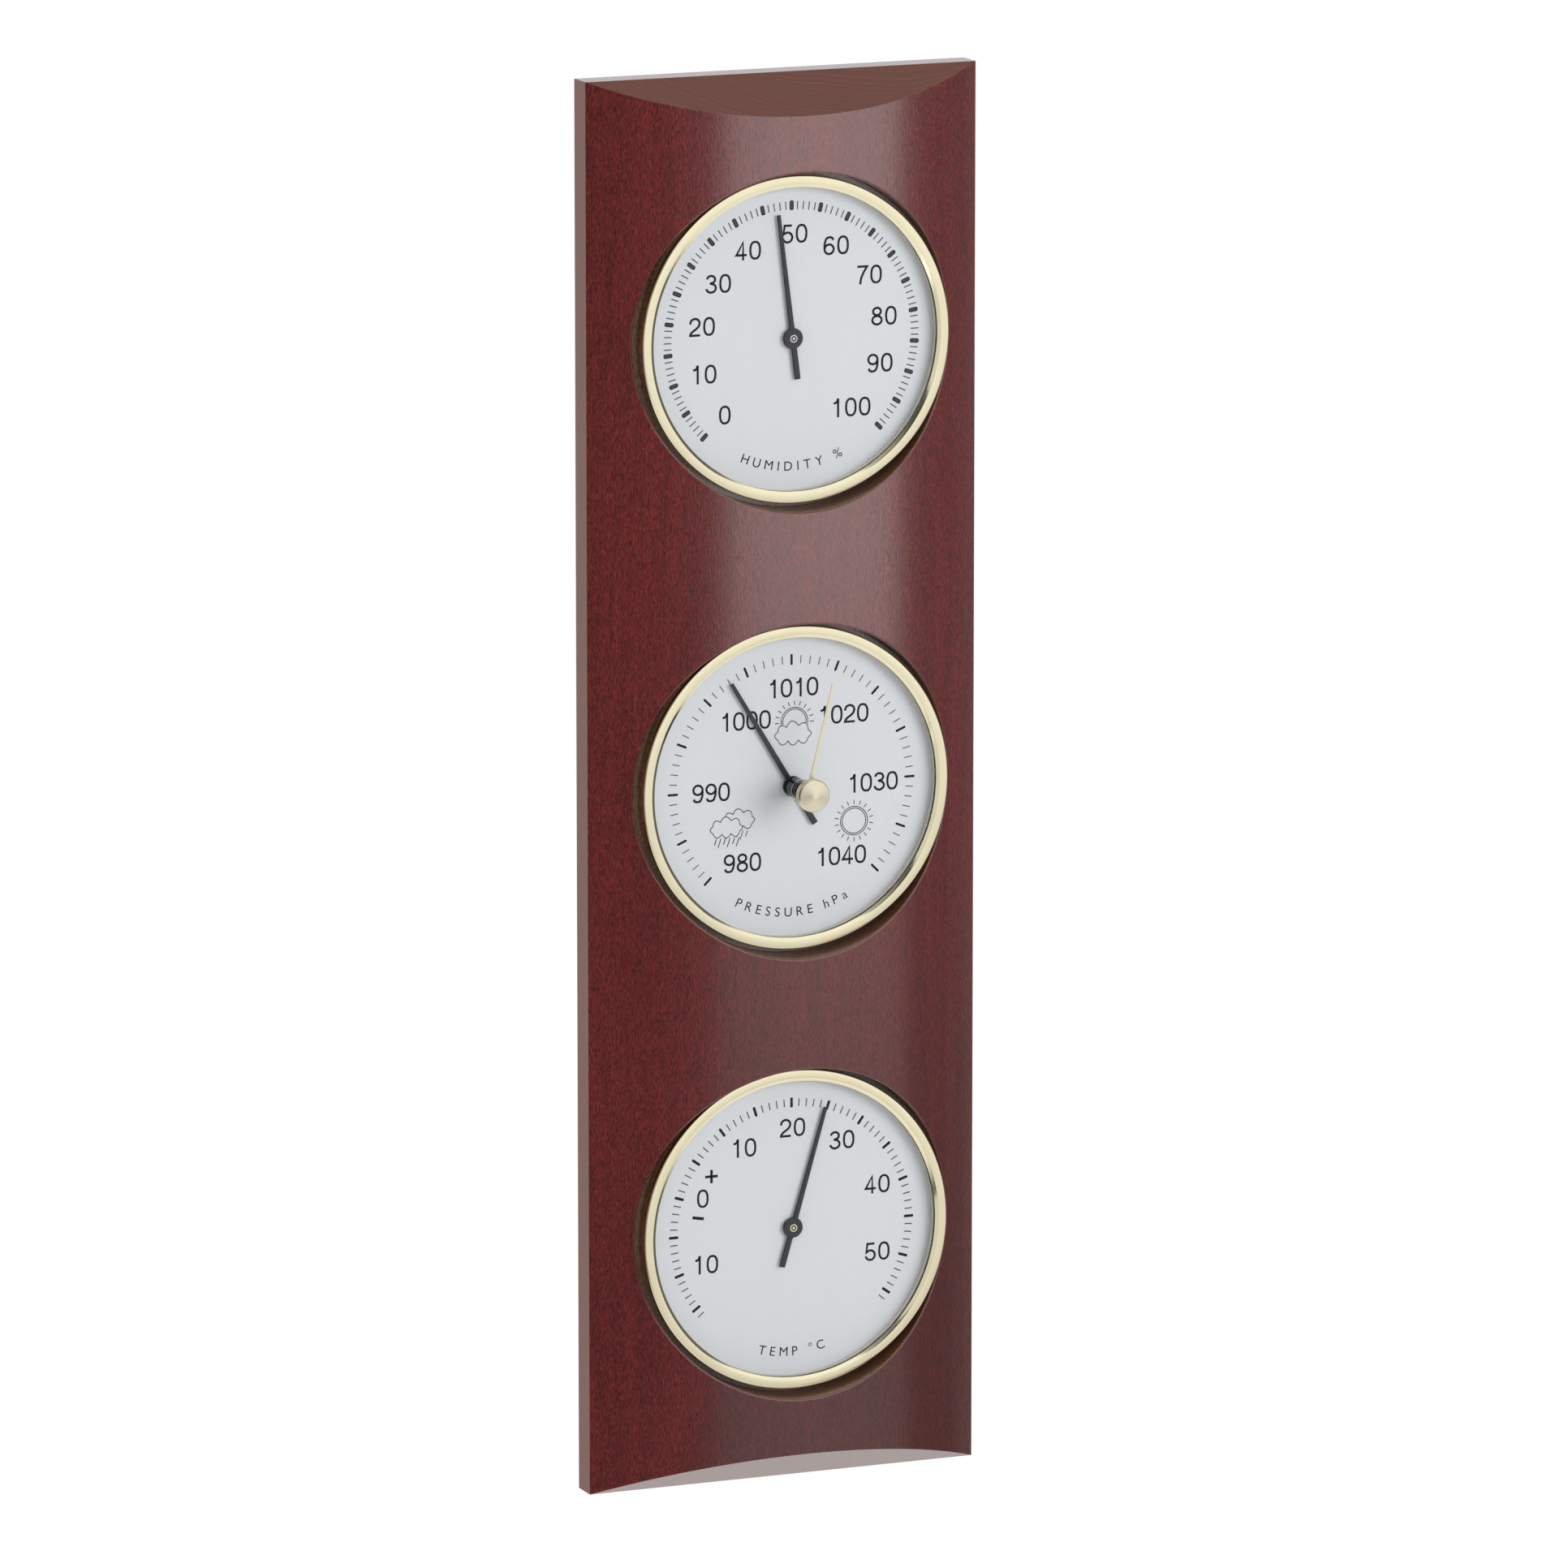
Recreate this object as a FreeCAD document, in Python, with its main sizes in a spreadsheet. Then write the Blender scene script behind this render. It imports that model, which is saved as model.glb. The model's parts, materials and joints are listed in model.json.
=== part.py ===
"""Wall weather station: hygrometer, aneroid barometer and thermometer in a bulged mahogany board.

Frame: origin at the centre of the board's back face, which hangs on the wall. +X is the
viewer's right, +Y runs into the wall and +Z is up, so the front faces -Y. "Depth" is the
distance from the wall, so a point at depth d has y = -d. Lengths are in millimetres.
"""
import FreeCAD, Part
import math
import os
import Sketcher

SIZES = {
    # mahogany board
    "board_width": 106.8,
    "board_height": 365.0,
    "board_bulge": 10.19,          # crest above the face at the sides of a recess
    "end_bevel": 9.3,              # how much shorter the crest is at each end
    "dial_end_distance": 67.1,     # from an end of the board to the nearest dial's centre
    "recess_gap": 1.4,             # around each bezel
    "recess_side_depth": 0.41,     # recess floor below the face at the recess's sides
    "recess_chamfer": 0.35,
    # hanger at the top of the back
    "hanger_width": 42.0,
    "hanger_length": 14.0,
    "hanger_thickness": 1.0,
    "hanger_gap": 12.2,            # from the top bore up to the hanger's middle
    "keyhole_radius": 4.5,
    "keyhole_slot": 4.0,
    "keyhole_rise": 4.5,
    "hanger_pocket_width": 15.0,
    "hanger_pocket_length": 12.5,
    "hanger_pocket_depth": 7.0,
    "hanger_screw_spacing": 31.0,
    "hanger_screw_radius": 1.2,
    "hanger_screw_length": 10.0,
    "hanger_countersink": 0.8,     # depth of the screw heads, and how far they widen
    # instrument case, the same for all three
    "case_radius": 39.0,
    "case_wall": 0.8,
    "case_setback": 1.0,           # case back to wall
    "band_thickness": 0.9,
    "band_start": 4.5,
    "band_width": 6.0,
    "flange_overlap": 0.7,
    "flange_thickness": 0.5,
    "vent_radius": 26.0,
    "vent_length": 10.0,
    "vent_width": 2.4,
    # front of each instrument
    "dial_thickness": 0.5,
    "spacer_height": 1.9,
    "spacer_width": 1.7,
    "glass_thickness": 1.0,
    "bezel_lip": 0.5,
    "bezel_gap": 0.2,
    "bezel_wall": 1.1,
    "bezel_round": 0.35,
    "bezel_face": 2.2,
    # pointers
    "hub_radius": 2.65,
    "hub_gap": 0.55,
    "hub_thickness": 0.75,
    "blade_thickness": 0.3,
    "blade_rise": 0.25,
    "blade_bite": 0.3,             # how far a blade runs into its hub
    "blade_root_width": 1.45,
    "blade_tip_width": 1.05,
    "tail_width": 1.6,
    "hygro_tip": 31.9,
    "hygro_tail": 10.6,
    "hygro_angle": -7.0,
    "thermo_tip": 32.2,
    "thermo_tail": 10.6,
    "thermo_angle": 16.5,
    "baro_tip": 32.4,
    "baro_tail": 11.8,
    "baro_angle": -31.4,
    # coil movement of the hygrometer and the thermometer
    "arbor_radius": 1.0,
    "arbor_proud": 0.15,
    "running_fit": 0.05,
    "pivot_radius": 0.45,
    "pivot_length": 0.9,
    "bush_radius": 1.7,
    "bush_flange_radius": 3.0,
    "bush_flange": 0.8,
    "bush_proud": 0.25,
    "collet_radius": 1.8,
    "coil_gap": 1.5,
    "coil_height": 3.4,
    "coil_strip": 0.22,
    "coil_outer_radius": 9.4,
    "coil_turns": 6.0,
    "coil_post_radius": 0.5,
    "regulator_radius": 11.5,
    "regulator_thickness": 0.8,
    "regulator_float": 0.1,
    "regulator_boss": 3.0,
    "regulator_proud": 0.6,
    "driver_slot_width": 0.8,
    "driver_slot_depth": 0.5,
    "driver_slot_overrun": 0.5,
    # aneroid movement of the barometer
    "base_plate_radius": 33.0,
    "plate_thickness": 0.8,
    "plate_radius": 28.0,
    "plate_screw_circle": 29.0,
    "plate_screw_radius": 0.8,
    "plate_screw_head": 1.6,
    "screw_head_thickness": 0.5,
    "adjuster_offset": 12.5,
    "adjuster_radius": 1.2,
    "adjuster_head": 2.6,
    "adjuster_tip": 0.6,
    "capsule_radius": 18.0,
    "capsule_gap": 0.4,
    "capsule_half": 1.4,
    "capsule_sheet": 0.25,
    "capsule_wave": 0.5,
    "capsule_rim": 1.2,
    "capsule_land": 3.2,
    "capsule_stud_radius": 1.5,
    "post_radius": 0.8,
    "post_flange": 2.4,
    "post_tip": 0.2,
    "post_height": 0.75,
    "rear_plate_gap": 2.2,         # from the capsule
    "rear_plate_thickness": 0.5,
    "front_plate_gap": 1.4,        # from the sector
    "dial_gap": 0.6,               # from the pillar screws' heads to the dial
    "pillar_circle": 24.0,
    "pillar_radius": 2.0,
    "pillar_neck": 1.5,
    "pillar_screw_radius": 0.8,
    "pillar_thread": 1.6,
    "rocker_radius": 0.5,
    "rocker_offset": 2.0,          # from the capsule's axis down to the rocking shaft
    "rocker_drop": 0.8,            # from the rear plate back to the rocking shaft
    "rocker_left": 9.5,
    "rocker_end": 1.4,
    "rocker_arm_width": 1.6,
    "rocker_hub_radius": 0.72,
    "rocker_touch": 0.2,           # how far the short arm's tongue stops behind the shaft's axis
    "crank_stem": 1.2,
    "bearing_width": 2.0,
    "bearing_height": 2.6,
    "bearing_foot": 1.0,
    "bearing_right": 11.5,
    "gear_module": 0.2,
    "pinion_teeth": 18,
    "wheel_teeth": 180,            # full circle of which the sector is a part
    "sector_thickness": 0.5,
    "sector_gap": 1.2,             # from the rear plate
    "sector_hub": 2.7,
    "sector_hole": 2.2,
    "sector_hole_inset": 5.7,
    "sector_waist": 1.9,
    "sector_arbor": 0.6,
    "pointer_journal": 0.475,
    "small_pivot": 0.3,
    "shoulder_gap": 0.5,
    "pinion_margin": 0.25,
    "gear_backlash": 0.03,
    "crank_radius": 1.6,
    "link_pin_radius": 0.3,
    "link_clearance": 0.12,
    "link_width": 1.6,
    "link_thickness": 0.4,
    "link_gap": 0.15,
    "hair_gap": 0.7,               # from the sector
    "hair_collet": 1.2,
    "hair_outer_radius": 5.6,
    "hair_strip": 0.1,
    "hair_height": 0.3,
    "hair_turns": 7.0,
    "hair_stud_radius": 0.4,
    # set hand and its knob
    "glass_bush_radius": 2.0,
    "glass_bush_flange": 2.65,
    "glass_bush_length": 3.5,
    "knob_shaft_radius": 1.2,
    "shaft_head": 2.0,
    "shaft_head_thickness": 0.3,
    "washer_radius": 2.75,
    "washer_thickness": 0.25,
    "collar_radius": 2.5,
    "collar_length": 1.6,
    "sleeve_length": 2.3,
    "set_hand_thickness": 0.35,
    "set_hand_hub": 2.0,
    "set_hand_tip": 28.4,
    "set_hand_shoulder": 6.0,
    "set_hand_root_width": 1.3,
    "set_hand_width": 0.75,
    "set_hand_angle": 14.2,
    "knob_radius": 4.25,
    "knob_neck_length": 1.75,
    "knob_skirt": 2.5,
    "knob_cone": 0.9,
    "knob_flute": 0.16,
    "knob_bevel": 0.32,
    "knob_neck": 1.9,
}

SCALE_HALF_SWEEP = 135.0           # the barometer's scale runs this far each side of the top
TOOTH_MARGIN = 4.0                 # sector teeth beyond the last one used, in degrees
PRESSURE_ANGLE = math.radians(20.0)
SECTOR_DIRECTION = 45.0            # the sector's arbor lies up and to the right of the dial's centre
COIL_POST_ANGLE = 210.0
HAIR_STUD_ANGLE = 150.0
SPIRAL_STEPS_PER_TURN = 12
FLANK_STEPS = 4
DEDENDUM = 1.25                    # tooth root below the pitch circle, in modules
CORRUGATION_FOLDS = 5
CUTTER_OVERRUN = 1.0
KNURL_COUNT = 48
VENT_COUNT = 8
PILLAR_ANGLES = (90.0, 210.0, 330.0)
PLATE_SCREW_ANGLES = (30.0, 150.0, 210.0, 330.0)

Vector = FreeCAD.Vector
doc = FreeCAD.newDocument("weather_station")
sheet = doc.addObject("Spreadsheet::Sheet", "Sizes")
parts = []


# ---------------------------------------------------------------- sizes and expressions

class Size:
    """A length in mm together with the spreadsheet expression that gives it."""

    def __init__(self, text, value):
        self.text = text
        self.value = value

    def __add__(self, other):
        other = as_size(other)
        return Size("(%s + %s)" % (self.text, other.text), self.value + other.value)

    def __sub__(self, other):
        other = as_size(other)
        return Size("(%s - %s)" % (self.text, other.text), self.value - other.value)

    def __rsub__(self, other):
        return as_size(other) - self

    def __mul__(self, other):
        other = as_size(other)
        return Size("(%s * %s)" % (self.text, other.text), self.value * other.value)

    def __truediv__(self, other):
        other = as_size(other)
        return Size("(%s / %s)" % (self.text, other.text), self.value / other.value)

    def __neg__(self):
        return Size("(0 - %s)" % self.text, -self.value)

    def root(self):
        return Size("sqrt(%s)" % self.text, math.sqrt(self.value))

    __radd__ = __add__
    __rmul__ = __mul__


def as_size(number):
    return number if isinstance(number, Size) else Size("%.6f" % number, float(number))


class SizeTable:
    """The spreadsheet's sizes by name: S.board_width and so on."""


S = SizeTable()
for row, (alias, number) in enumerate(SIZES.items(), start=1):
    sheet.set("A%d" % row, alias)
    sheet.set("B%d" % row, str(number))
    sheet.setAlias("B%d" % row, alias)
    setattr(S, alias, Size("Sizes." + alias, float(number)))
doc.recompute()

WALL = as_size(0.0)

# depths of the barometer's movement, from the back of its case to the front of its screws
CASE_BACK = S.case_setback
CASE_FLOOR = CASE_BACK + S.case_wall
BASE_FRONT = CASE_FLOOR + S.plate_thickness
CAPSULE_BACK = BASE_FRONT + S.capsule_gap
CAPSULE_SEAM = CAPSULE_BACK + S.capsule_half
CAPSULE_FRONT = CAPSULE_SEAM + S.capsule_half
POST_TIP = CAPSULE_FRONT + S.post_height
REAR_PLATE_BACK = CAPSULE_FRONT + S.rear_plate_gap
REAR_PLATE_FRONT = REAR_PLATE_BACK + S.rear_plate_thickness
ROCKER_DEPTH = REAR_PLATE_BACK - S.rocker_drop
SECTOR_BACK = REAR_PLATE_FRONT + S.sector_gap
SECTOR_FRONT = SECTOR_BACK + S.sector_thickness
LINK_BACK = SECTOR_FRONT + S.link_gap
LINK_FRONT = LINK_BACK + S.link_thickness
LINK_PIN_FRONT = LINK_FRONT + S.link_gap
HAIR_BACK = SECTOR_FRONT + S.hair_gap
HAIR_FRONT = HAIR_BACK + S.hair_height
FRONT_PLATE_BACK = SECTOR_FRONT + S.front_plate_gap
FRONT_PLATE_FRONT = FRONT_PLATE_BACK + S.plate_thickness
SCREW_HEAD_FRONT = FRONT_PLATE_FRONT + S.screw_head_thickness

# depths of the front, from the dial to the bezel; the flange rests on the floor of the recess
DIAL_BACK = SCREW_HEAD_FRONT + S.dial_gap
LEDGE_DEPTH = DIAL_BACK - S.flange_thickness
DIAL_FRONT = DIAL_BACK + S.dial_thickness
GLASS_BACK = DIAL_FRONT + S.spacer_height
GLASS_FRONT = GLASS_BACK + S.glass_thickness
BEZEL_FRONT = GLASS_FRONT + S.bezel_lip
HUB_BACK = DIAL_FRONT + S.hub_gap
HUB_FRONT = HUB_BACK + S.hub_thickness
BLADE_BACK = HUB_BACK + S.blade_rise

# radii of the pieces that nest at the rim of each instrument
CASE_INNER = S.case_radius - S.case_wall
BORE_RADIUS = S.case_radius + S.band_thickness
FLANGE_RADIUS = BORE_RADIUS + S.flange_overlap
SIGHT_RADIUS = FLANGE_RADIUS - S.spacer_width
BEZEL_INNER = FLANGE_RADIUS + S.bezel_gap
BEZEL_OUTER = BEZEL_INNER + S.bezel_wall
RECESS_RADIUS = BEZEL_OUTER + S.recess_gap

# the front of the board is one arc, which stands a little above the floor at each recess's sides
BOARD_HALF_WIDTH = S.board_width / 2
BOARD_CREST = LEDGE_DEPTH + S.recess_side_depth + S.board_bulge
BULGE_RADIUS = (RECESS_RADIUS * RECESS_RADIUS + S.board_bulge * S.board_bulge) / (S.board_bulge * 2)
BOARD_EDGE = BOARD_CREST - BULGE_RADIUS + (
    BULGE_RADIUS * BULGE_RADIUS - BOARD_HALF_WIDTH * BOARD_HALF_WIDTH).root()

BARO_HEIGHT = as_size(0.0)
HYGRO_HEIGHT = S.board_height / 2 - S.dial_end_distance
THERMO_HEIGHT = -HYGRO_HEIGHT
HANGER_HEIGHT = HYGRO_HEIGHT + BORE_RADIUS + S.hanger_gap


# ---------------------------------------------------------------- modelling helpers

def new_body(name, height=None, angle=0.0):
    """A body whose origin is a dial's centre on the wall, turned clockwise seen from the front."""
    body = doc.addObject("PartDesign::Body", name)
    body.Label = name
    rise = height.value if height else 0.0
    turn = FreeCAD.Rotation(Vector(0, 1, 0), angle)
    body.Placement = FreeCAD.Placement(Vector(0, 0, rise), turn)
    if height:
        body.setExpression("Placement.Base.z", height.text)
    parts.append(body)
    return body


def new_sketch(body, role, name, offset=None):
    """A sketch on one of the body's origin planes, moved out along its normal by offset."""
    sketch = body.newObject("Sketcher::SketchObject", body.Name + "_" + name)
    plane = [item for item in body.Origin.OriginFeatures if item.Role == role][0]
    sketch.AttachmentSupport = [(plane, "")]
    sketch.MapMode = "FlatFace"
    if offset is not None:
        sketch.AttachmentOffset = FreeCAD.Placement(Vector(0, 0, offset.value), FreeCAD.Rotation())
        sketch.setExpression("AttachmentOffset.Base.z", offset.text)
    return sketch


def pin_point(sketch, geometry, position, x, y):
    """Ties one point of the sketch to its two coordinates."""
    for kind, coordinate in (("DistanceX", as_size(x)), ("DistanceY", as_size(y))):
        constraint = Sketcher.Constraint(kind, -1, 1, geometry, position, coordinate.value)
        index = sketch.addConstraint(constraint)
        sketch.setExpression("Constraints[%d]" % index, coordinate.text)


def draw_polygon(sketch, corners):
    first = sketch.GeometryCount
    count = len(corners)
    for i, (x, y) in enumerate(corners):
        next_x, next_y = corners[(i + 1) % count]
        start = Vector(as_size(x).value, as_size(y).value, 0)
        end = Vector(as_size(next_x).value, as_size(next_y).value, 0)
        sketch.addGeometry(Part.LineSegment(start, end), False)
    for i in range(count):
        sketch.addConstraint(Sketcher.Constraint("Coincident", first + i, 2, first + (i + 1) % count, 1))
    for i, (x, y) in enumerate(corners):
        pin_point(sketch, first + i, 1, x, y)


def draw_circle(sketch, x, y, radius):
    centre = Vector(as_size(x).value, as_size(y).value, 0)
    index = sketch.addGeometry(Part.Circle(centre, Vector(0, 0, 1), radius.value), False)
    constraint = sketch.addConstraint(Sketcher.Constraint("Radius", index, radius.value))
    sketch.setExpression("Constraints[%d]" % constraint, radius.text)
    pin_point(sketch, index, 3, x, y)


def revolve(body, profile, name="turned"):
    """Turns a closed outline of (radius, depth) corners about the body's Y axis."""
    sketch = new_sketch(body, "XY_Plane", name + "_profile")
    draw_polygon(sketch, [(radius, -depth) for radius, depth in profile])
    feature = body.newObject("PartDesign::Revolution", body.Name + "_" + name)
    feature.Profile = sketch
    feature.ReferenceAxis = (sketch, ["V_Axis"])
    feature.Angle = 360.0
    return feature


def tube(inner, outer, back, front):
    """Profile of a plain ring, or of a disc where inner is 0."""
    return [(inner, back), (outer, back), (outer, front), (inner, front)]


def pad(body, sketch, length, name):
    """Pads towards the front from a sketch on the XZ plane."""
    feature = body.newObject("PartDesign::Pad", body.Name + "_" + name)
    feature.Profile = sketch
    feature.Length = length.value
    feature.setExpression("Length", length.text)
    return feature


def pocket(body, sketch, length, name, forwards=False):
    """Cuts towards the wall from a sketch on the XZ plane, or towards the front."""
    feature = body.newObject("PartDesign::Pocket", body.Name + "_" + name)
    feature.Profile = sketch
    feature.Length = length.value
    feature.setExpression("Length", length.text)
    feature.Reversed = forwards
    return feature


def round_holes(body, centres, radius, back, front, name):
    """Round holes along Y between two depths, at (x, z) centres."""
    sketch = new_sketch(body, "XZ_Plane", name + "_circles", front)
    for x, z in centres:
        draw_circle(sketch, x, z, radius)
    return pocket(body, sketch, front - back, name)


def polar(radius, degrees):
    """An (x, z) pair at an angle counted anticlockwise from +X, seen from the front."""
    angle = math.radians(degrees)
    return radius * math.cos(angle), radius * math.sin(angle)


def ring_of(radius, angles):
    return [polar(radius, degrees) for degrees in angles]


def add_feature(name, shape, height=None):
    """A piece whose shape comes straight from Part, placed at a dial's centre."""
    feature = doc.addObject("Part::Feature", name)
    feature.Label = name
    feature.Shape = shape
    rise = height.value if height else 0.0
    raised = FreeCAD.Placement(Vector(0, 0, rise), FreeCAD.Rotation())
    feature.Placement = raised.multiply(shape.Placement)
    parts.append(feature)
    return feature


def flat_plate(outline, back, front):
    """Extrudes a closed wire drawn at y = 0 so that it spans two depths."""
    face = Part.Face(outline)
    face.translate(Vector(0, -back.value, 0))
    return face.extrude(Vector(0, back.value - front.value, 0))


def round_bar(x, z, radius, back, front):
    base = Vector(as_size(x).value, -as_size(back).value, as_size(z).value)
    return Part.makeCylinder(as_size(radius).value, as_size(front).value - as_size(back).value,
                             base, Vector(0, -1, 0))


def spiral_strip(inner, outer, turns, strip, end_angle, back, front):
    """A flat spiral strip whose outer end is at end_angle, between two depths."""
    steps = int(round(turns * SPIRAL_STEPS_PER_TURN))
    edges = []
    for side in (-0.5, 0.5):
        points = []
        for step in range(steps + 1):
            share = step / steps
            radius = inner + (outer - inner) * share + side * strip
            angle = math.radians(end_angle - 360.0 * turns * (1.0 - share))
            points.append(Vector(radius * math.cos(angle), 0, radius * math.sin(angle)))
        curve = Part.BSplineCurve()
        curve.interpolate(points)
        edges.append(curve.toShape())
    ends = [Part.makeLine(edges[0].Vertexes[i].Point, edges[1].Vertexes[i].Point) for i in (0, -1)]
    outline = Part.Wire(Part.__sortEdges__([edges[0], ends[1], edges[1], ends[0]]))
    return flat_plate(outline, back, front)


# ---------------------------------------------------------------- board and hanger

def build_board():
    body = new_body("wood_board")
    section = new_sketch(body, "XY_Plane", "section")
    half = BOARD_HALF_WIDTH
    corners = [(-half, -BOARD_EDGE), (-half, 0), (half, 0), (half, -BOARD_EDGE)]
    for start, end in zip(corners[:-1], corners[1:]):
        section.addGeometry(Part.LineSegment(Vector(as_size(start[0]).value, as_size(start[1]).value, 0),
                                             Vector(as_size(end[0]).value, as_size(end[1]).value, 0)), False)
    front = Part.Arc(Vector(half.value, -BOARD_EDGE.value, 0), Vector(0, -BOARD_CREST.value, 0),
                     Vector(-half.value, -BOARD_EDGE.value, 0))
    arc = section.addGeometry(front, False)
    crest = section.addGeometry(Part.Point(Vector(0, -BOARD_CREST.value, 0)), True)
    for line in (0, 1):
        section.addConstraint(Sketcher.Constraint("Coincident", line, 2, line + 1, 1))
    for i, (x, y) in enumerate(corners[:-1]):
        pin_point(section, i, 1, x, y)
    pin_point(section, 2, 2, *corners[-1])
    arc_ends = [section.getPoint(arc, end) for end in (1, 2)]
    right_end = 1 if arc_ends[0].x > arc_ends[1].x else 2
    section.addConstraint(Sketcher.Constraint("Coincident", arc, right_end, 2, 2))
    section.addConstraint(Sketcher.Constraint("Coincident", arc, 3 - right_end, 0, 1))
    pin_point(section, crest, 1, 0, -BOARD_CREST)
    section.addConstraint(Sketcher.Constraint("PointOnObject", crest, 1, arc))
    plank = pad(body, section, S.board_height, "plank")
    plank.SideType = "Symmetric"

    # each end slopes back from the plate's front edge to the crest
    ends = new_sketch(body, "YZ_Plane", "ends")
    top = S.board_height / 2
    beyond = BOARD_CREST + S.end_bevel
    for sign in (1, -1):
        draw_polygon(ends, [(-BOARD_EDGE, sign * top),
                            (-BOARD_CREST, sign * (top - S.end_bevel)),
                            (-beyond, sign * (top - S.end_bevel)),
                            (-beyond, sign * (top + S.end_bevel)),
                            (-BOARD_EDGE, sign * (top + S.end_bevel))])
    bevels = pocket(body, ends, S.board_width * 2, "bevels")
    bevels.SideType = "Symmetric"

    centres = [(0, height) for height in (HYGRO_HEIGHT, BARO_HEIGHT, THERMO_HEIGHT)]
    round_holes(body, centres, RECESS_RADIUS, LEDGE_DEPTH, BOARD_CREST, "recesses")
    round_holes(body, centres, BORE_RADIUS, WALL, BOARD_CREST, "bores")

    # hanger: a shallow seat for the plate and a deeper pocket for the head of the wall screw
    seat = new_sketch(body, "XZ_Plane", "hanger_seat_outline", S.hanger_thickness)
    draw_polygon(seat, rectangle(S.hanger_width / 2, S.hanger_length / 2, HANGER_HEIGHT))
    pocket(body, seat, S.hanger_thickness, "hanger_seat")
    well = new_sketch(body, "XZ_Plane", "hanger_well_outline", S.hanger_pocket_depth)
    draw_polygon(well, rectangle(S.hanger_pocket_width / 2, S.hanger_pocket_length / 2, HANGER_HEIGHT))
    pocket(body, well, S.hanger_pocket_depth, "hanger_well")
    round_holes(body, screw_centres(), S.hanger_screw_radius, WALL,
                S.hanger_thickness + S.hanger_screw_length, "hanger_screw_holes")
    doc.recompute()
    add_recess_chamfer(body)


def rectangle(half_width, half_height, middle):
    return [(-half_width, middle - half_height), (half_width, middle - half_height),
            (half_width, middle + half_height), (-half_width, middle + half_height)]


def screw_centres():
    return [(sign * S.hanger_screw_spacing / 2, HANGER_HEIGHT) for sign in (-1, 1)]


def add_recess_chamfer(body):
    """Breaks the sharp edge where each recess meets the bulged front."""
    base = body.Tip
    names = []
    for index, edge in enumerate(base.Shape.Edges, start=1):
        box = edge.BoundBox
        bowed = box.YLength > S.recess_chamfer.value
        if bowed and min(box.XLength, box.ZLength) > BORE_RADIUS.value:
            names.append("Edge%d" % index)
    chamfer = body.newObject("PartDesign::Chamfer", "wood_board_recess_edges")
    chamfer.Base = (base, names)
    chamfer.Size = S.recess_chamfer.value
    chamfer.setExpression("Size", S.recess_chamfer.text)


def add_countersinks(body):
    """Opens the screw holes towards the wall for 90 degree heads."""
    base = body.Tip
    radius = S.hanger_screw_radius.value
    names = []
    for index, edge in enumerate(base.Shape.Edges, start=1):
        box = edge.BoundBox
        round_as_screw = radius < min(box.XLength, box.ZLength) and max(box.XLength, box.ZLength) < 3 * radius
        if round_as_screw and box.YMin > -S.hanger_thickness.value / 2:
            names.append("Edge%d" % index)
    chamfer = body.newObject("PartDesign::Chamfer", "hanger_plate_countersinks")
    chamfer.Base = (base, names)
    chamfer.Size = S.hanger_countersink.value
    chamfer.setExpression("Size", S.hanger_countersink.text)


def countersunk_screw(x, z):
    """A slotted screw whose head is flush with the wall side of the plate."""
    radius, head_depth = S.hanger_screw_radius, S.hanger_countersink
    head_radius = radius + head_depth
    tip = S.hanger_thickness + S.hanger_screw_length
    outline = [(0, WALL), (head_radius, WALL), (radius, head_depth), (radius, tip), (0, tip)]
    reach = head_radius.value + S.driver_slot_overrun.value
    width = S.driver_slot_width.value
    depth = S.driver_slot_depth.value
    corner = Vector(as_size(x).value - reach, -depth, as_size(z).value - width / 2)
    return turned_solid(outline, x, z).cut(Part.makeBox(2 * reach, depth, width, corner))


def build_hanger():
    body = new_body("hanger_plate")
    outline = new_sketch(body, "XZ_Plane", "outline", WALL)
    draw_polygon(outline, rectangle(S.hanger_width / 2, S.hanger_length / 2, HANGER_HEIGHT))
    pad(body, outline, S.hanger_thickness, "plate")
    entry = HANGER_HEIGHT - S.keyhole_rise / 2
    round_holes(body, [(0, entry)], S.keyhole_radius, WALL, S.hanger_thickness, "keyhole")
    slot = new_sketch(body, "XZ_Plane", "slot_outline", S.hanger_thickness)
    neck_top = entry + S.keyhole_radius + S.keyhole_rise / 2
    draw_polygon(slot, [(-S.keyhole_slot / 2, entry), (S.keyhole_slot / 2, entry),
                        (S.keyhole_slot / 2, neck_top), (-S.keyhole_slot / 2, neck_top)])
    pocket(body, slot, S.hanger_thickness, "slot")
    round_holes(body, screw_centres(), S.hanger_screw_radius, WALL, S.hanger_thickness, "screw_holes")
    doc.recompute()
    add_countersinks(body)
    add_feature("hanger_screws", Part.makeCompound([countersunk_screw(x, z) for x, z in screw_centres()]))


# ---------------------------------------------------------------- cases and fronts

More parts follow.
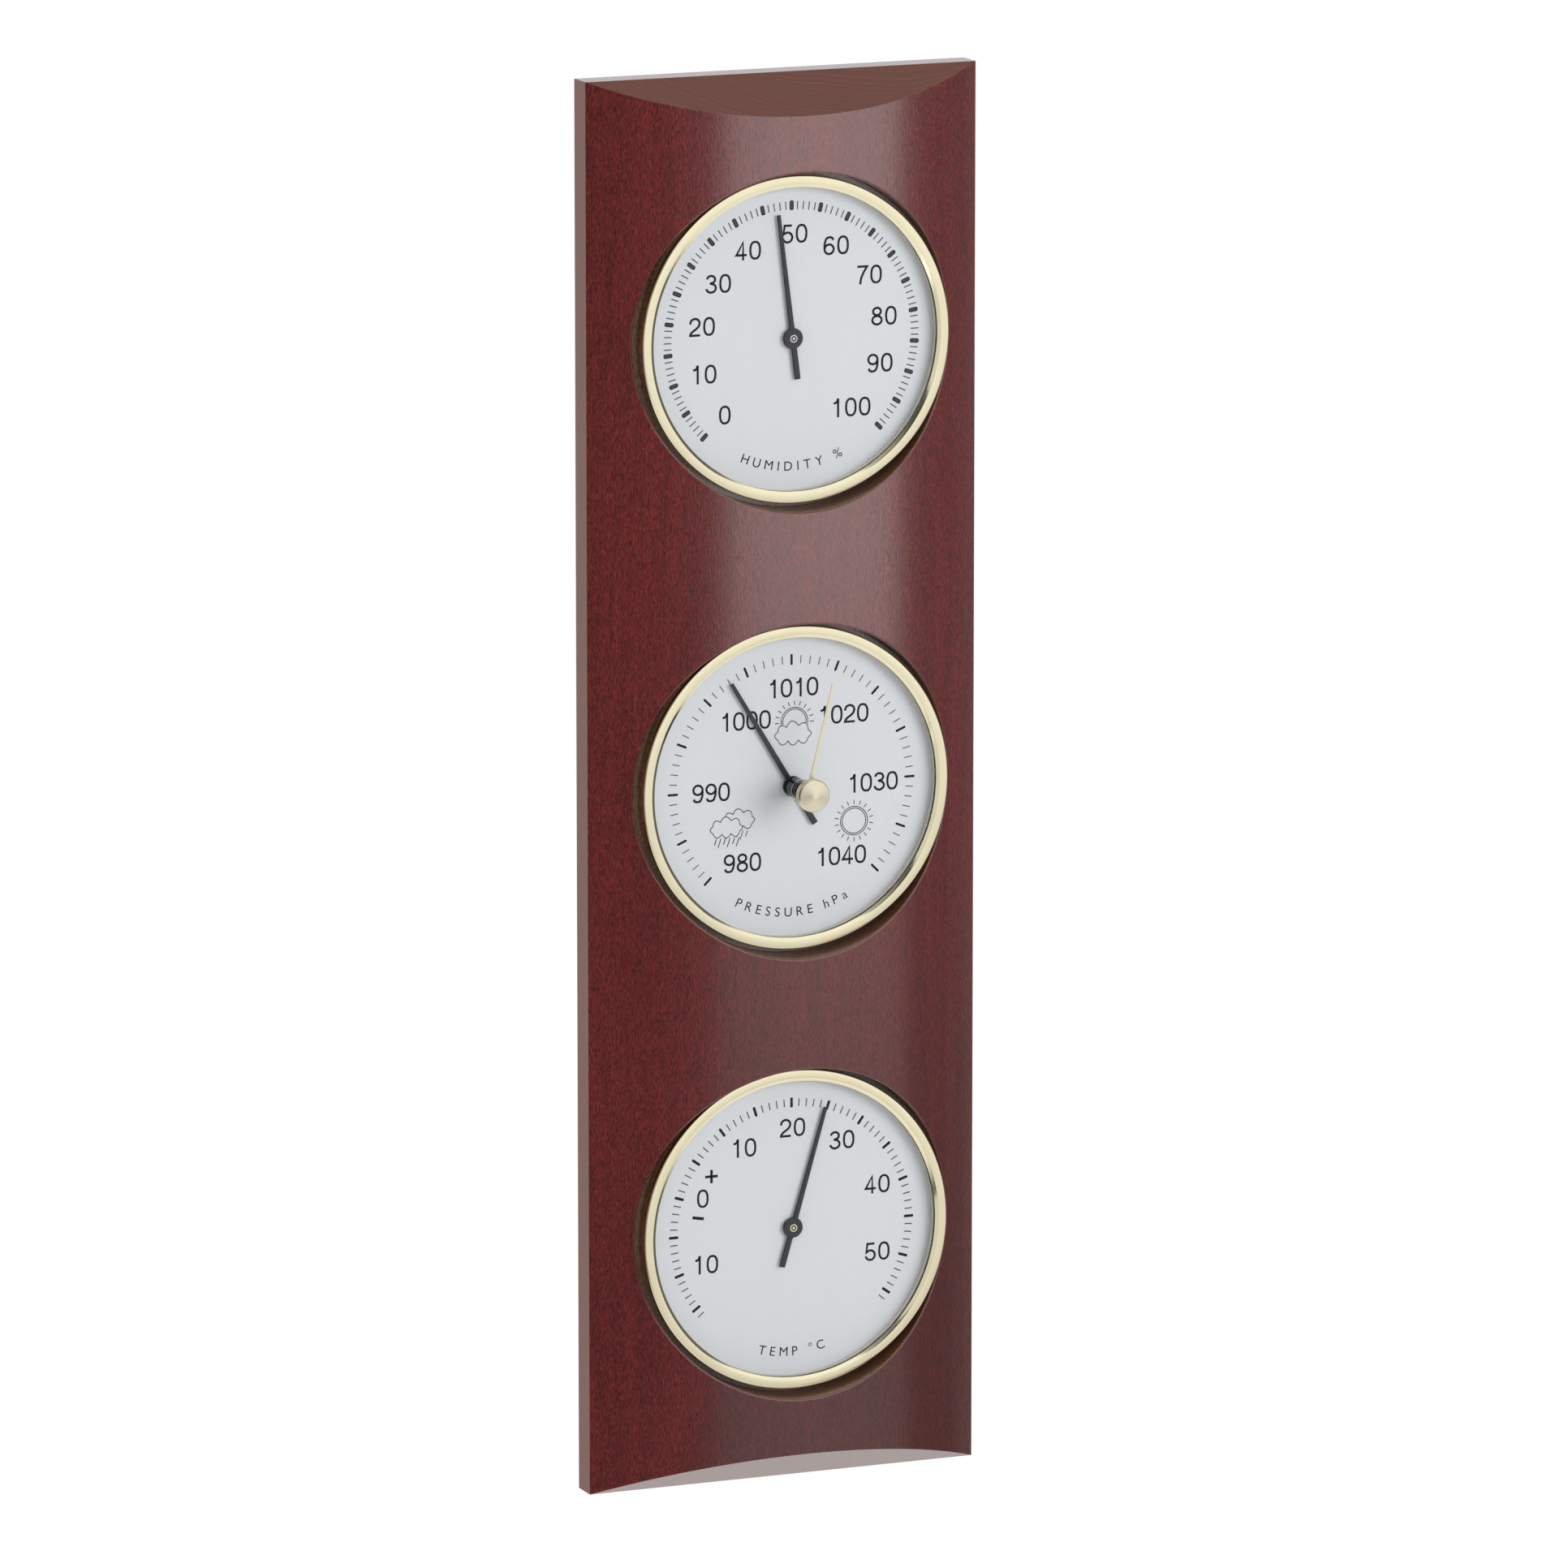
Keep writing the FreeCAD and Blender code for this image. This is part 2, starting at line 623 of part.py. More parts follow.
def build_case(name, height, centre_hole, extra_holes=()):
    body = new_body(name + "_case", height)
    revolve(body, [(centre_hole, CASE_BACK), (S.case_radius, CASE_BACK), (S.case_radius, LEDGE_DEPTH),
                   (FLANGE_RADIUS, LEDGE_DEPTH), (FLANGE_RADIUS, DIAL_BACK), (CASE_INNER, DIAL_BACK),
                   (CASE_INNER, CASE_FLOOR), (centre_hole, CASE_FLOOR)])
    for number, (centres, radius) in enumerate(extra_holes, start=1):
        round_holes(body, centres, radius, CASE_BACK, CASE_FLOOR, "holes_%d" % number)
    vent = new_sketch(body, "XZ_Plane", "vent_outline", CASE_FLOOR)
    low = S.vent_radius - S.vent_length / 2
    high = S.vent_radius + S.vent_length / 2
    draw_polygon(vent, [(-S.vent_width / 2, low), (S.vent_width / 2, low),
                        (S.vent_width / 2, high), (-S.vent_width / 2, high)])
    first_vent = pocket(body, vent, S.case_wall, "vent")
    vents = body.newObject("PartDesign::PolarPattern", body.Name + "_vents")
    vents.Originals = [first_vent]
    vents.Axis = (vent, ["N_Axis"])
    vents.Angle = 360.0
    vents.Occurrences = VENT_COUNT
    body.Tip = vents


def build_front(name, height, dial_hole, glass_hole=None):
    """Band, dial, spacer, glass and bezel, which are alike on the three instruments."""
    band = new_body(name + "_grip_band", height)
    revolve(band, tube(S.case_radius, BORE_RADIUS, S.band_start, S.band_start + S.band_width))
    dial = new_body(name + "_dial", height)
    revolve(dial, tube(dial_hole, FLANGE_RADIUS, DIAL_BACK, DIAL_FRONT))
    spacer = new_body(name + "_spacer_ring", height)
    revolve(spacer, tube(SIGHT_RADIUS, FLANGE_RADIUS, DIAL_FRONT, GLASS_BACK))
    glass = new_body(name + "_glass", height)
    revolve(glass, tube(glass_hole if glass_hole else 0, FLANGE_RADIUS, GLASS_BACK, GLASS_FRONT))
    bezel = new_body(name + "_bezel", height)
    revolve(bezel, [(BEZEL_INNER, LEDGE_DEPTH), (BEZEL_OUTER, LEDGE_DEPTH),
                    (BEZEL_OUTER, BEZEL_FRONT - S.bezel_round), (BEZEL_OUTER - S.bezel_round, BEZEL_FRONT),
                    (BEZEL_OUTER - S.bezel_face, BEZEL_FRONT), (SIGHT_RADIUS, GLASS_FRONT),
                    (BEZEL_INNER, GLASS_FRONT)])


def build_pointer(name, height, angle, tip, tail, bore):
    """A flat tapering blade with a round hub and a short square tail."""
    body = new_body(name + "_pointer", height, angle.value)
    revolve(body, tube(bore, S.hub_radius, HUB_BACK, HUB_FRONT), "hub")
    blade = new_sketch(body, "XZ_Plane", "blade_outline", BLADE_BACK)
    root = S.hub_radius - S.blade_bite
    draw_polygon(blade, [(-S.blade_root_width / 2, root), (S.blade_root_width / 2, root),
                         (S.blade_tip_width / 2, tip), (-S.blade_tip_width / 2, tip)])
    pad(body, blade, S.blade_thickness, "blade")
    counter = new_sketch(body, "XZ_Plane", "tail_outline", BLADE_BACK)
    draw_polygon(counter, [(-S.tail_width / 2, -tail), (S.tail_width / 2, -tail),
                           (S.tail_width / 2, -root), (-S.tail_width / 2, -root)])
    pad(body, counter, S.blade_thickness, "tail")


# ---------------------------------------------------------------- coil instruments

REGULATOR_BACK = CASE_FLOOR + S.regulator_float
REGULATOR_FRONT = REGULATOR_BACK + S.regulator_thickness
REGULATOR_REAR = CASE_BACK - S.regulator_proud
COIL_BACK = REGULATOR_FRONT + S.coil_gap
COIL_FRONT = COIL_BACK + S.coil_height
PIVOT_BACK = REGULATOR_FRONT + S.running_fit - S.pivot_length


def build_coil_instrument(name, height, angle, tip, tail):
    """Hygrometer or thermometer: a coil turns the arbor, and its outer end sits on a regulator."""
    build_case(name, height, S.regulator_boss + S.running_fit)
    build_front(name, height, S.bush_radius)
    build_pointer(name, height, angle, tip, tail, S.arbor_radius)

    bush = new_body(name + "_dial_bush", height)
    bore = S.arbor_radius + S.running_fit
    revolve(bush, [(bore, DIAL_BACK - S.bush_flange), (S.bush_flange_radius, DIAL_BACK - S.bush_flange),
                   (S.bush_flange_radius, DIAL_BACK), (S.bush_radius, DIAL_BACK),
                   (S.bush_radius, DIAL_FRONT + S.bush_proud), (bore, DIAL_FRONT + S.bush_proud)])

    arbor = new_body(name + "_arbor", height)
    shoulder = REGULATOR_FRONT + S.running_fit * 2
    revolve(arbor, [(0, PIVOT_BACK), (S.pivot_radius, PIVOT_BACK), (S.pivot_radius, shoulder),
                    (S.arbor_radius, shoulder), (S.arbor_radius, COIL_BACK),
                    (S.collet_radius, COIL_BACK), (S.collet_radius, COIL_FRONT),
                    (S.arbor_radius, COIL_FRONT), (S.arbor_radius, HUB_FRONT + S.arbor_proud),
                    (0, HUB_FRONT + S.arbor_proud)])

    regulator = new_body(name + "_regulator", height)
    bearing = S.pivot_radius + S.running_fit
    bearing_back = PIVOT_BACK - S.running_fit
    revolve(regulator, [(0, REGULATOR_REAR), (S.regulator_boss, REGULATOR_REAR),
                        (S.regulator_boss, REGULATOR_BACK), (S.regulator_radius, REGULATOR_BACK),
                        (S.regulator_radius, REGULATOR_FRONT), (bearing, REGULATOR_FRONT),
                        (bearing, bearing_back), (0, bearing_back)])
    post = new_sketch(regulator, "XZ_Plane", "post_circle", REGULATOR_FRONT)
    post_circle = S.coil_outer_radius + S.coil_strip / 2 + S.coil_post_radius
    draw_circle(post, *polar(post_circle, COIL_POST_ANGLE), S.coil_post_radius)
    pad(regulator, post, COIL_FRONT - REGULATOR_FRONT, "post")
    driver_slot(regulator, S.regulator_boss, REGULATOR_REAR)

    inner = (S.collet_radius + S.coil_strip / 2 + S.running_fit).value
    strip = spiral_strip(inner, S.coil_outer_radius.value, S.coil_turns.value, S.coil_strip.value,
                         COIL_POST_ANGLE, COIL_BACK, COIL_FRONT)
    add_feature(name + "_coil", strip, height)


def driver_slot(body, radius, back):
    """A screwdriver slot across the rear face at depth back."""
    slot = new_sketch(body, "XZ_Plane", "driver_slot_outline", back)
    draw_polygon(slot, rectangle(radius + S.driver_slot_overrun, S.driver_slot_width / 2, 0))
    pocket(body, slot, S.driver_slot_depth, "driver_slot", forwards=True)


# ---------------------------------------------------------------- barometer movement

PINION_RADIUS = S.gear_module * S.pinion_teeth / 2
WHEEL_RADIUS = S.gear_module * S.wheel_teeth / 2
SECTOR_X, SECTOR_Z = polar(PINION_RADIUS + WHEEL_RADIUS, SECTOR_DIRECTION)
CRANK_X = SECTOR_X + S.crank_radius
ROCKER_Z = -S.rocker_offset


def build_base():
    plate_screws = ring_of(S.plate_screw_circle, PLATE_SCREW_ANGLES)
    adjuster = [(0, -S.adjuster_offset)]
    thread = S.adjuster_radius + S.running_fit
    build_case("baro", BARO_HEIGHT, S.capsule_stud_radius + S.capsule_gap,
               [(plate_screws, S.plate_screw_radius), (adjuster, thread)])

    plate = new_body("baro_base_plate")
    revolve(plate, tube(S.capsule_stud_radius, S.base_plate_radius, CASE_FLOOR, BASE_FRONT))
    round_holes(plate, plate_screws, S.plate_screw_radius, CASE_FLOOR, BASE_FRONT, "screw_holes")
    round_holes(plate, adjuster, thread, CASE_FLOOR, BASE_FRONT, "adjuster_hole")
    round_holes(plate, ring_of(S.pillar_circle, PILLAR_ANGLES), S.pillar_screw_radius,
                CASE_FLOOR, BASE_FRONT, "pillar_holes")

    head_back = CASE_BACK - S.screw_head_thickness
    screws = []
    for x, z in plate_screws:
        head = round_bar(x, z, S.plate_screw_head, head_back, CASE_BACK)
        shank = round_bar(x, z, S.plate_screw_radius, CASE_BACK, BASE_FRONT)
        screws.append(head.fuse(shank).removeSplitter())
    add_feature("baro_plate_screws", Part.makeCompound(screws))

    screw = new_body("baro_adjusting_screw", -S.adjuster_offset)
    revolve(screw, [(0, head_back), (S.adjuster_head, head_back), (S.adjuster_head, CASE_BACK),
                    (S.adjuster_radius, CASE_BACK), (S.adjuster_radius, BASE_FRONT),
                    (S.adjuster_tip, CAPSULE_BACK), (0, CAPSULE_BACK)])
    driver_slot(screw, S.adjuster_head, head_back)


def diaphragm(outward, seam, land_depth):
    """Outline of one pressed diaphragm: flat land, two corrugations and the soldered rim."""
    sheet_thickness = S.capsule_sheet * outward
    step = (S.capsule_radius - S.capsule_rim - S.capsule_land) / (CORRUGATION_FOLDS + 1)
    outer = [(0, land_depth), (S.capsule_land, land_depth)]
    inner = [(0, land_depth - sheet_thickness), (S.capsule_land, land_depth - sheet_thickness)]
    for count in range(1, CORRUGATION_FOLDS + 1):
        dip = S.capsule_wave * outward * (count % 2)
        radius = S.capsule_land + step * count
        outer.append((radius, land_depth - dip))
        inner.append((radius, land_depth - sheet_thickness - dip))
    shoulder = S.capsule_radius - S.capsule_rim
    outer.append((shoulder, seam + sheet_thickness))
    outer.append((S.capsule_radius, seam + sheet_thickness))
    outer.append((S.capsule_radius, seam))
    inner.append((shoulder - S.capsule_sheet, seam))
    return outer + inner[::-1]


def build_capsule():
    rear = new_body("baro_capsule_rear")
    revolve(rear, diaphragm(-1, CAPSULE_SEAM, CAPSULE_BACK))
    revolve(rear, tube(0, S.capsule_stud_radius, CASE_FLOOR, CAPSULE_BACK + S.capsule_sheet / 2), "stud")
    front = new_body("baro_capsule_front")
    revolve(front, diaphragm(1, CAPSULE_SEAM, CAPSULE_FRONT))
    post = new_body("baro_capsule_post")
    flange = CAPSULE_FRONT + S.capsule_sheet
    revolve(post, [(0, CAPSULE_FRONT), (S.post_flange, CAPSULE_FRONT), (S.post_flange, flange),
                   (S.post_radius, flange), (S.post_tip, POST_TIP), (0, POST_TIP)])


def build_frame_plates():
    circle = ring_of(S.pillar_circle, PILLAR_ANGLES)
    small_hole = S.small_pivot + S.running_fit
    rear = new_body("baro_rear_plate")
    revolve(rear, tube(small_hole, S.plate_radius, REAR_PLATE_BACK, REAR_PLATE_FRONT))
    round_holes(rear, circle, S.pillar_neck, REAR_PLATE_BACK, REAR_PLATE_FRONT, "pillar_holes")
    round_holes(rear, [(SECTOR_X, SECTOR_Z)], small_hole, REAR_PLATE_BACK, REAR_PLATE_FRONT, "sector_hole")
    window = new_sketch(rear, "XZ_Plane", "window_outline", REAR_PLATE_FRONT)
    half = S.rocker_arm_width
    draw_polygon(window, [(CRANK_X - half, ROCKER_Z - half), (CRANK_X + half, ROCKER_Z - half),
                          (CRANK_X + half, ROCKER_Z + half), (CRANK_X - half, ROCKER_Z + half)])
    pocket(rear, window, S.rear_plate_thickness, "window")

    front = new_body("baro_front_plate")
    journal = S.pointer_journal + S.running_fit
    revolve(front, tube(journal, S.plate_radius, FRONT_PLATE_BACK, FRONT_PLATE_FRONT))
    round_holes(front, circle, S.pillar_screw_radius, FRONT_PLATE_BACK, FRONT_PLATE_FRONT, "screw_holes")
    round_holes(front, [(SECTOR_X, SECTOR_Z)], small_hole, FRONT_PLATE_BACK, FRONT_PLATE_FRONT, "sector_hole")

    shape = [(0, BASE_FRONT), (S.pillar_radius, BASE_FRONT), (S.pillar_radius, REAR_PLATE_BACK),
             (S.pillar_neck, REAR_PLATE_BACK), (S.pillar_neck, FRONT_PLATE_BACK),
             (0, FRONT_PLATE_BACK)]
    pillars = []
    screws = []
    thread_back = FRONT_PLATE_BACK - S.pillar_thread
    for x, z in circle:
        pillar = turned_solid(shape, x, z)
        pillar = pillar.cut(round_bar(x, z, S.pillar_screw_radius, thread_back, FRONT_PLATE_BACK))
        foot = round_bar(x, z, S.pillar_screw_radius, CASE_FLOOR, BASE_FRONT)
        pillars.append(pillar.fuse(foot).removeSplitter())
        head = round_bar(x, z, S.plate_screw_head, FRONT_PLATE_FRONT, SCREW_HEAD_FRONT)
        shank = round_bar(x, z, S.pillar_screw_radius, thread_back, FRONT_PLATE_FRONT)
        screws.append(head.fuse(shank).removeSplitter())
    add_feature("baro_pillars", Part.makeCompound(pillars))
    add_feature("baro_pillar_screws", Part.makeCompound(screws))


def turned_solid(profile, x, z):
    """A solid of revolution about the depth axis through (x, z)."""
    points = [Vector(as_size(radius).value, -as_size(depth).value, 0) for radius, depth in profile]
    face = Part.Face(Part.makePolygon(points + points[:1]))
    solid = face.revolve(Vector(0, 0, 0), Vector(0, 1, 0), 360.0)
    solid.translate(Vector(as_size(x).value, 0, as_size(z).value))
    return solid


def build_rocker():
    """Rocking shaft along X, with a short arm on the capsule's post and a crank arm to the link."""
    radius = S.rocker_radius.value
    axis_y = -ROCKER_DEPTH.value
    axis_z = ROCKER_Z.value
    left = -S.rocker_left.value
    right = (CRANK_X + S.rocker_end).value
    shaft = Part.makeCylinder(radius, right - left, Vector(left, axis_y, axis_z), Vector(1, 0, 0))
    add_feature("baro_rocking_shaft", shaft)

    width = S.rocker_arm_width.value
    hub_radius = S.rocker_hub_radius.value
    bore = Part.makeCylinder(radius, right - left, Vector(left, axis_y, axis_z), Vector(1, 0, 0))
    pad_back = POST_TIP.value + S.running_fit.value
    pad_front = ROCKER_DEPTH.value - S.rocker_touch.value
    touch = Part.makeBox(width, pad_front - pad_back, S.rocker_offset.value + S.post_radius.value,
                         Vector(-width / 2, -pad_front, axis_z))
    short_hub = Part.makeCylinder(hub_radius, width, Vector(-width / 2, axis_y, axis_z), Vector(1, 0, 0))
    low_limit = Part.makeBox(width * 2, hub_radius, hub_radius * 4,
                             Vector(-width, -pad_back, axis_z - hub_radius * 2))
    short_arm = touch.fuse(short_hub.cut(low_limit)).cut(bore).removeSplitter()

    crank_left = CRANK_X.value - width / 2
    crank_hub = Part.makeCylinder(hub_radius, width, Vector(crank_left, axis_y, axis_z), Vector(1, 0, 0))
    thick = S.crank_stem.value
    stem_front = SECTOR_FRONT.value
    stem = Part.makeBox(thick, stem_front - ROCKER_DEPTH.value, thick,
                        Vector(CRANK_X.value - thick / 2, -stem_front, axis_z - thick / 2))
    pin = round_bar(CRANK_X, ROCKER_Z, S.link_pin_radius, ROCKER_DEPTH, LINK_PIN_FRONT)
    crank_arm = crank_hub.fuse([stem, pin]).cut(bore).removeSplitter()
    add_feature("baro_rocker_arms", Part.makeCompound([short_arm, crank_arm]))

    blocks = []
    foot_back = ROCKER_DEPTH.value - S.bearing_foot.value
    for x in (-S.rocker_left.value + S.rocker_radius.value, S.bearing_right.value):
        block = Part.makeBox(S.bearing_width.value, REAR_PLATE_BACK.value - foot_back,
                             S.bearing_height.value,
                             Vector(x, -REAR_PLATE_BACK.value, axis_z - S.bearing_height.value / 2))
        journal = Part.makeCylinder(radius + S.running_fit.value, S.bearing_width.value,
                                    Vector(x, axis_y, axis_z), Vector(1, 0, 0))
        blocks.append(block.cut(journal))
    add_feature("baro_shaft_bearings", Part.makeCompound(blocks))


def build_link():
    """Flat link from the rocker's crank pin up to the pin on the sector."""
    body = new_body("baro_link")
    half = S.link_width / 2
    outline = new_sketch(body, "XZ_Plane", "outline", LINK_BACK)
    draw_polygon(outline, [(CRANK_X - half, ROCKER_Z - half), (CRANK_X + half, ROCKER_Z - half),
                           (CRANK_X + half, SECTOR_Z + half), (CRANK_X - half, SECTOR_Z + half)])
    pad(body, outline, S.link_thickness, "bar")
    round_holes(body, [(CRANK_X, ROCKER_Z), (CRANK_X, SECTOR_Z)], S.link_pin_radius + S.link_clearance,
                LINK_BACK, LINK_FRONT, "pin_holes")


def involute(angle):
    return math.tan(angle) - angle


def tooth_flank(pitch_radius, module, teeth):
    """(radius, half-angle) pairs of one involute flank, from the root up to the tip."""
    base = pitch_radius * math.cos(PRESSURE_ANGLE)
    root = pitch_radius - DEDENDUM * module
    tip = pitch_radius + module
    half_pitch = math.pi / (2 * teeth) - S.gear_backlash.value / (2 * pitch_radius)
    flank = []
    start = max(base, root)
    if root < base:
        flank.append((root, half_pitch + involute(PRESSURE_ANGLE)))
    for step in range(FLANK_STEPS + 1):
        radius = start + (tip - start) * step / FLANK_STEPS
        lean = involute(math.acos(min(1.0, base / radius)))
        flank.append((radius, half_pitch + involute(PRESSURE_ANGLE) - lean))
    return flank


def tooth_points(flank, middle):
    """Outline of one tooth about the angle middle, anticlockwise, as (x, z) pairs."""
    rising = [(radius, middle - half) for radius, half in flank]
    falling = [(radius, middle + half) for radius, half in reversed(flank)]
    return [(radius * math.cos(a), radius * math.sin(a)) for radius, a in rising + falling]


def closed_wire(points, x=0.0, z=0.0):
    corners = [Vector(px + x, 0, pz + z) for px, pz in points]
    return Part.makePolygon(corners + corners[:1])


def build_gears():
    module = S.gear_module.value
    pinion_teeth = int(S.pinion_teeth.value)
    wheel_teeth = int(S.wheel_teeth.value)
    mesh = math.radians(SECTOR_DIRECTION)

    # the pinion has a tooth pointing at the sector, where the sector has a gap
    flank = tooth_flank(PINION_RADIUS.value, module, pinion_teeth)
    outline = []
    for tooth in range(pinion_teeth):
        outline += tooth_points(flank, mesh + 2 * math.pi * tooth / pinion_teeth)
    pinion_back = SECTOR_BACK - S.pinion_margin
    pinion_front = SECTOR_FRONT + S.pinion_margin
    pinion = flat_plate(closed_wire(outline), pinion_back, pinion_front)
    pinion = pinion.cut(round_bar(0, 0, S.sector_arbor, pinion_back - CUTTER_OVERRUN,
                                  pinion_front + CUTTER_OVERRUN))
    add_feature("baro_pinion", pinion)

    # the sector turns by the pointer's swing over the gear ratio, each way from rest
    ratio = wheel_teeth / pinion_teeth
    swing_back = (SCALE_HALF_SWEEP - S.baro_angle.value) / ratio
    swing_on = (SCALE_HALF_SWEEP + S.baro_angle.value) / ratio
    tooth_step = 2 * math.pi / wheel_teeth
    facing = mesh + math.pi
    # clockwise turns carry the teeth to smaller angles, so each side holds the other's reserve
    teeth_below = int(math.ceil(math.radians(swing_back + TOOTH_MARGIN) / tooth_step))
    teeth_above = int(math.ceil(math.radians(swing_on + TOOTH_MARGIN) / tooth_step))
    wheel_flank = tooth_flank(WHEEL_RADIUS.value, module, wheel_teeth)
    edge = []
    for tooth in range(-teeth_below, teeth_above):
        edge += tooth_points(wheel_flank, facing + (tooth + 0.5) * tooth_step)
    waist = S.sector_waist.value
    first = math.atan2(edge[0][1], edge[0][0])
    last = math.atan2(edge[-1][1], edge[-1][0])
    for angle in (last, first):
        edge.append((waist * math.cos(angle), waist * math.sin(angle)))
    x, z = SECTOR_X.value, SECTOR_Z.value
    blade = flat_plate(closed_wire(edge, x, z), SECTOR_BACK, SECTOR_FRONT)
    disc = round_bar(x, z, S.sector_hub, SECTOR_BACK, SECTOR_FRONT)
    pin = round_bar(CRANK_X, z, S.link_pin_radius, SECTOR_BACK, LINK_PIN_FRONT)
    cut_back = SECTOR_BACK - CUTTER_OVERRUN
    cut_front = SECTOR_FRONT + CUTTER_OVERRUN
    bore = round_bar(x, z, S.sector_arbor, cut_back, cut_front)
    middle = math.degrees(facing) - (swing_back - swing_on) / 2
    hole_x, hole_z = polar(WHEEL_RADIUS - S.sector_hole_inset, middle)
    hole = round_bar(x + hole_x, z + hole_z, S.sector_hole, cut_back, cut_front)
    sector = blade.fuse([disc, pin]).cut([bore, hole]).removeSplitter()
    add_feature("baro_sector_gear", sector)


def build_arbors():
    pivot_end = REAR_PLATE_BACK + S.running_fit
    shoulder = SECTOR_BACK - S.shoulder_gap
    sector_front = LINK_BACK - S.link_gap / 2
    sector = turned_solid([(0, pivot_end), (S.small_pivot, pivot_end), (S.small_pivot, shoulder),
                           (S.sector_arbor, shoulder), (S.sector_arbor, sector_front),
                           (S.small_pivot, sector_front), (S.small_pivot, FRONT_PLATE_FRONT - S.running_fit),
                           (0, FRONT_PLATE_FRONT - S.running_fit)], SECTOR_X, SECTOR_Z)
    add_feature("baro_sector_arbor", sector)

    arbor = new_body("baro_pointer_arbor")
    journal = S.pointer_journal
    collet = S.hair_collet
    revolve(arbor, [(0, pivot_end), (S.small_pivot, pivot_end), (S.small_pivot, shoulder),
                    (S.sector_arbor, shoulder), (S.sector_arbor, HAIR_BACK),
                    (collet, HAIR_BACK), (collet, HAIR_FRONT), (journal, HAIR_FRONT),
                    (journal, HUB_FRONT + S.arbor_proud), (0, HUB_FRONT + S.arbor_proud)])

    inner = (collet + S.hair_strip / 2 + S.running_fit).value
    spring = spiral_strip(inner, S.hair_outer_radius.value, S.hair_turns.value, S.hair_strip.value,
                          HAIR_STUD_ANGLE, HAIR_BACK, HAIR_FRONT)
    add_feature("baro_hairspring", spring)
    stud_circle = S.hair_outer_radius + S.hair_strip / 2 + S.hair_stud_radius
    stud = round_bar(*polar(stud_circle, HAIR_STUD_ANGLE), S.hair_stud_radius, HAIR_BACK, FRONT_PLATE_BACK)
    add_feature("baro_hairspring_stud", stud)
    build_pointer("baro", BARO_HEIGHT, S.baro_angle, S.baro_tip, S.baro_tail, journal)


# ---------------------------------------------------------------- set hand and knob

BUSH_FRONT = GLASS_FRONT + S.glass_bush_length
WASHER_FRONT = BUSH_FRONT + S.washer_thickness
COLLAR_BACK = WASHER_FRONT + S.running_fit
COLLAR_FRONT = COLLAR_BACK + S.collar_length
SET_HAND_BACK = COLLAR_FRONT + S.sleeve_length
SET_HAND_FRONT = SET_HAND_BACK + S.set_hand_thickness
KNOB_BACK = SET_HAND_FRONT + S.knob_neck_length
KNOB_RIM = KNOB_BACK + S.knob_skirt
KNOB_APEX = KNOB_RIM + S.knob_cone


def build_set_hand():
    shaft_fit = S.knob_shaft_radius + S.running_fit
    bush = new_body("baro_glass_bush")
    revolve(bush, [(shaft_fit, GLASS_BACK), (S.glass_bush_radius, GLASS_BACK),
                   (S.glass_bush_radius, GLASS_FRONT), (S.glass_bush_flange, GLASS_FRONT),
                   (S.glass_bush_flange, BUSH_FRONT), (shaft_fit, BUSH_FRONT)])
    washer = new_body("baro_bush_washer")
    revolve(washer, tube(shaft_fit, S.washer_radius, BUSH_FRONT, WASHER_FRONT))

    shaft = new_body("baro_knob_shaft")
    head_front = GLASS_BACK - S.running_fit
    head_back = head_front - S.shaft_head_thickness
    revolve(shaft, [(0, head_back), (S.shaft_head, head_back),
                    (S.shaft_head, head_front), (S.knob_shaft_radius, head_front),
                    (S.knob_shaft_radius, KNOB_RIM), (0, KNOB_RIM)])
    collar = new_body("baro_knob_collar")
    revolve(collar, tube(S.knob_shaft_radius, S.collar_radius, COLLAR_BACK, COLLAR_FRONT))
    revolve(collar, tube(S.knob_shaft_radius, S.knob_neck, COLLAR_FRONT, SET_HAND_BACK), "sleeve")

    hand = new_body("baro_set_hand", None, S.set_hand_angle.value)
    revolve(hand, tube(S.knob_shaft_radius, S.set_hand_hub, SET_HAND_BACK, SET_HAND_FRONT), "hub")
    blade = new_sketch(hand, "XZ_Plane", "blade_outline", SET_HAND_BACK)
    root = S.set_hand_hub - S.blade_bite
    shoulder = S.set_hand_shoulder
    draw_polygon(blade, [(-S.set_hand_root_width / 2, root),
                         (S.set_hand_root_width / 2, root),
                         (S.set_hand_width / 2, shoulder), (S.set_hand_width / 2, S.set_hand_tip),
                         (-S.set_hand_width / 2, S.set_hand_tip), (-S.set_hand_width / 2, shoulder)])
    pad(hand, blade, S.set_hand_thickness, "blade")

    knob = new_body("baro_set_knob")
    bevel = S.knob_bevel
    revolve(knob, [(S.knob_shaft_radius, SET_HAND_FRONT), (S.knob_neck, SET_HAND_FRONT),
                   (S.knob_neck, KNOB_BACK), (S.knob_radius - bevel, KNOB_BACK),
                   (S.knob_radius, KNOB_BACK + bevel), (S.knob_radius, KNOB_RIM - bevel),
                   (S.knob_radius - bevel, KNOB_RIM), (0, KNOB_APEX), (0, KNOB_RIM),
                   (S.knob_shaft_radius, KNOB_RIM)])
    flute = new_sketch(knob, "XZ_Plane", "flute_outline", KNOB_RIM)
    draw_polygon(flute, [(-S.knob_flute, S.knob_radius + S.knob_flute), (0, S.knob_radius - S.knob_flute),
                         (S.knob_flute, S.knob_radius + S.knob_flute)])
    first_flute = pocket(knob, flute, S.knob_skirt, "flute")
    knurl = knob.newObject("PartDesign::PolarPattern", "baro_set_knob_knurl")
    knurl.Originals = [first_flute]
    knurl.Axis = (flute, ["N_Axis"])
    knurl.Angle = 360.0
    knurl.Occurrences = KNURL_COUNT
    knob.Tip = knurl


# ---------------------------------------------------------------- build, check and write

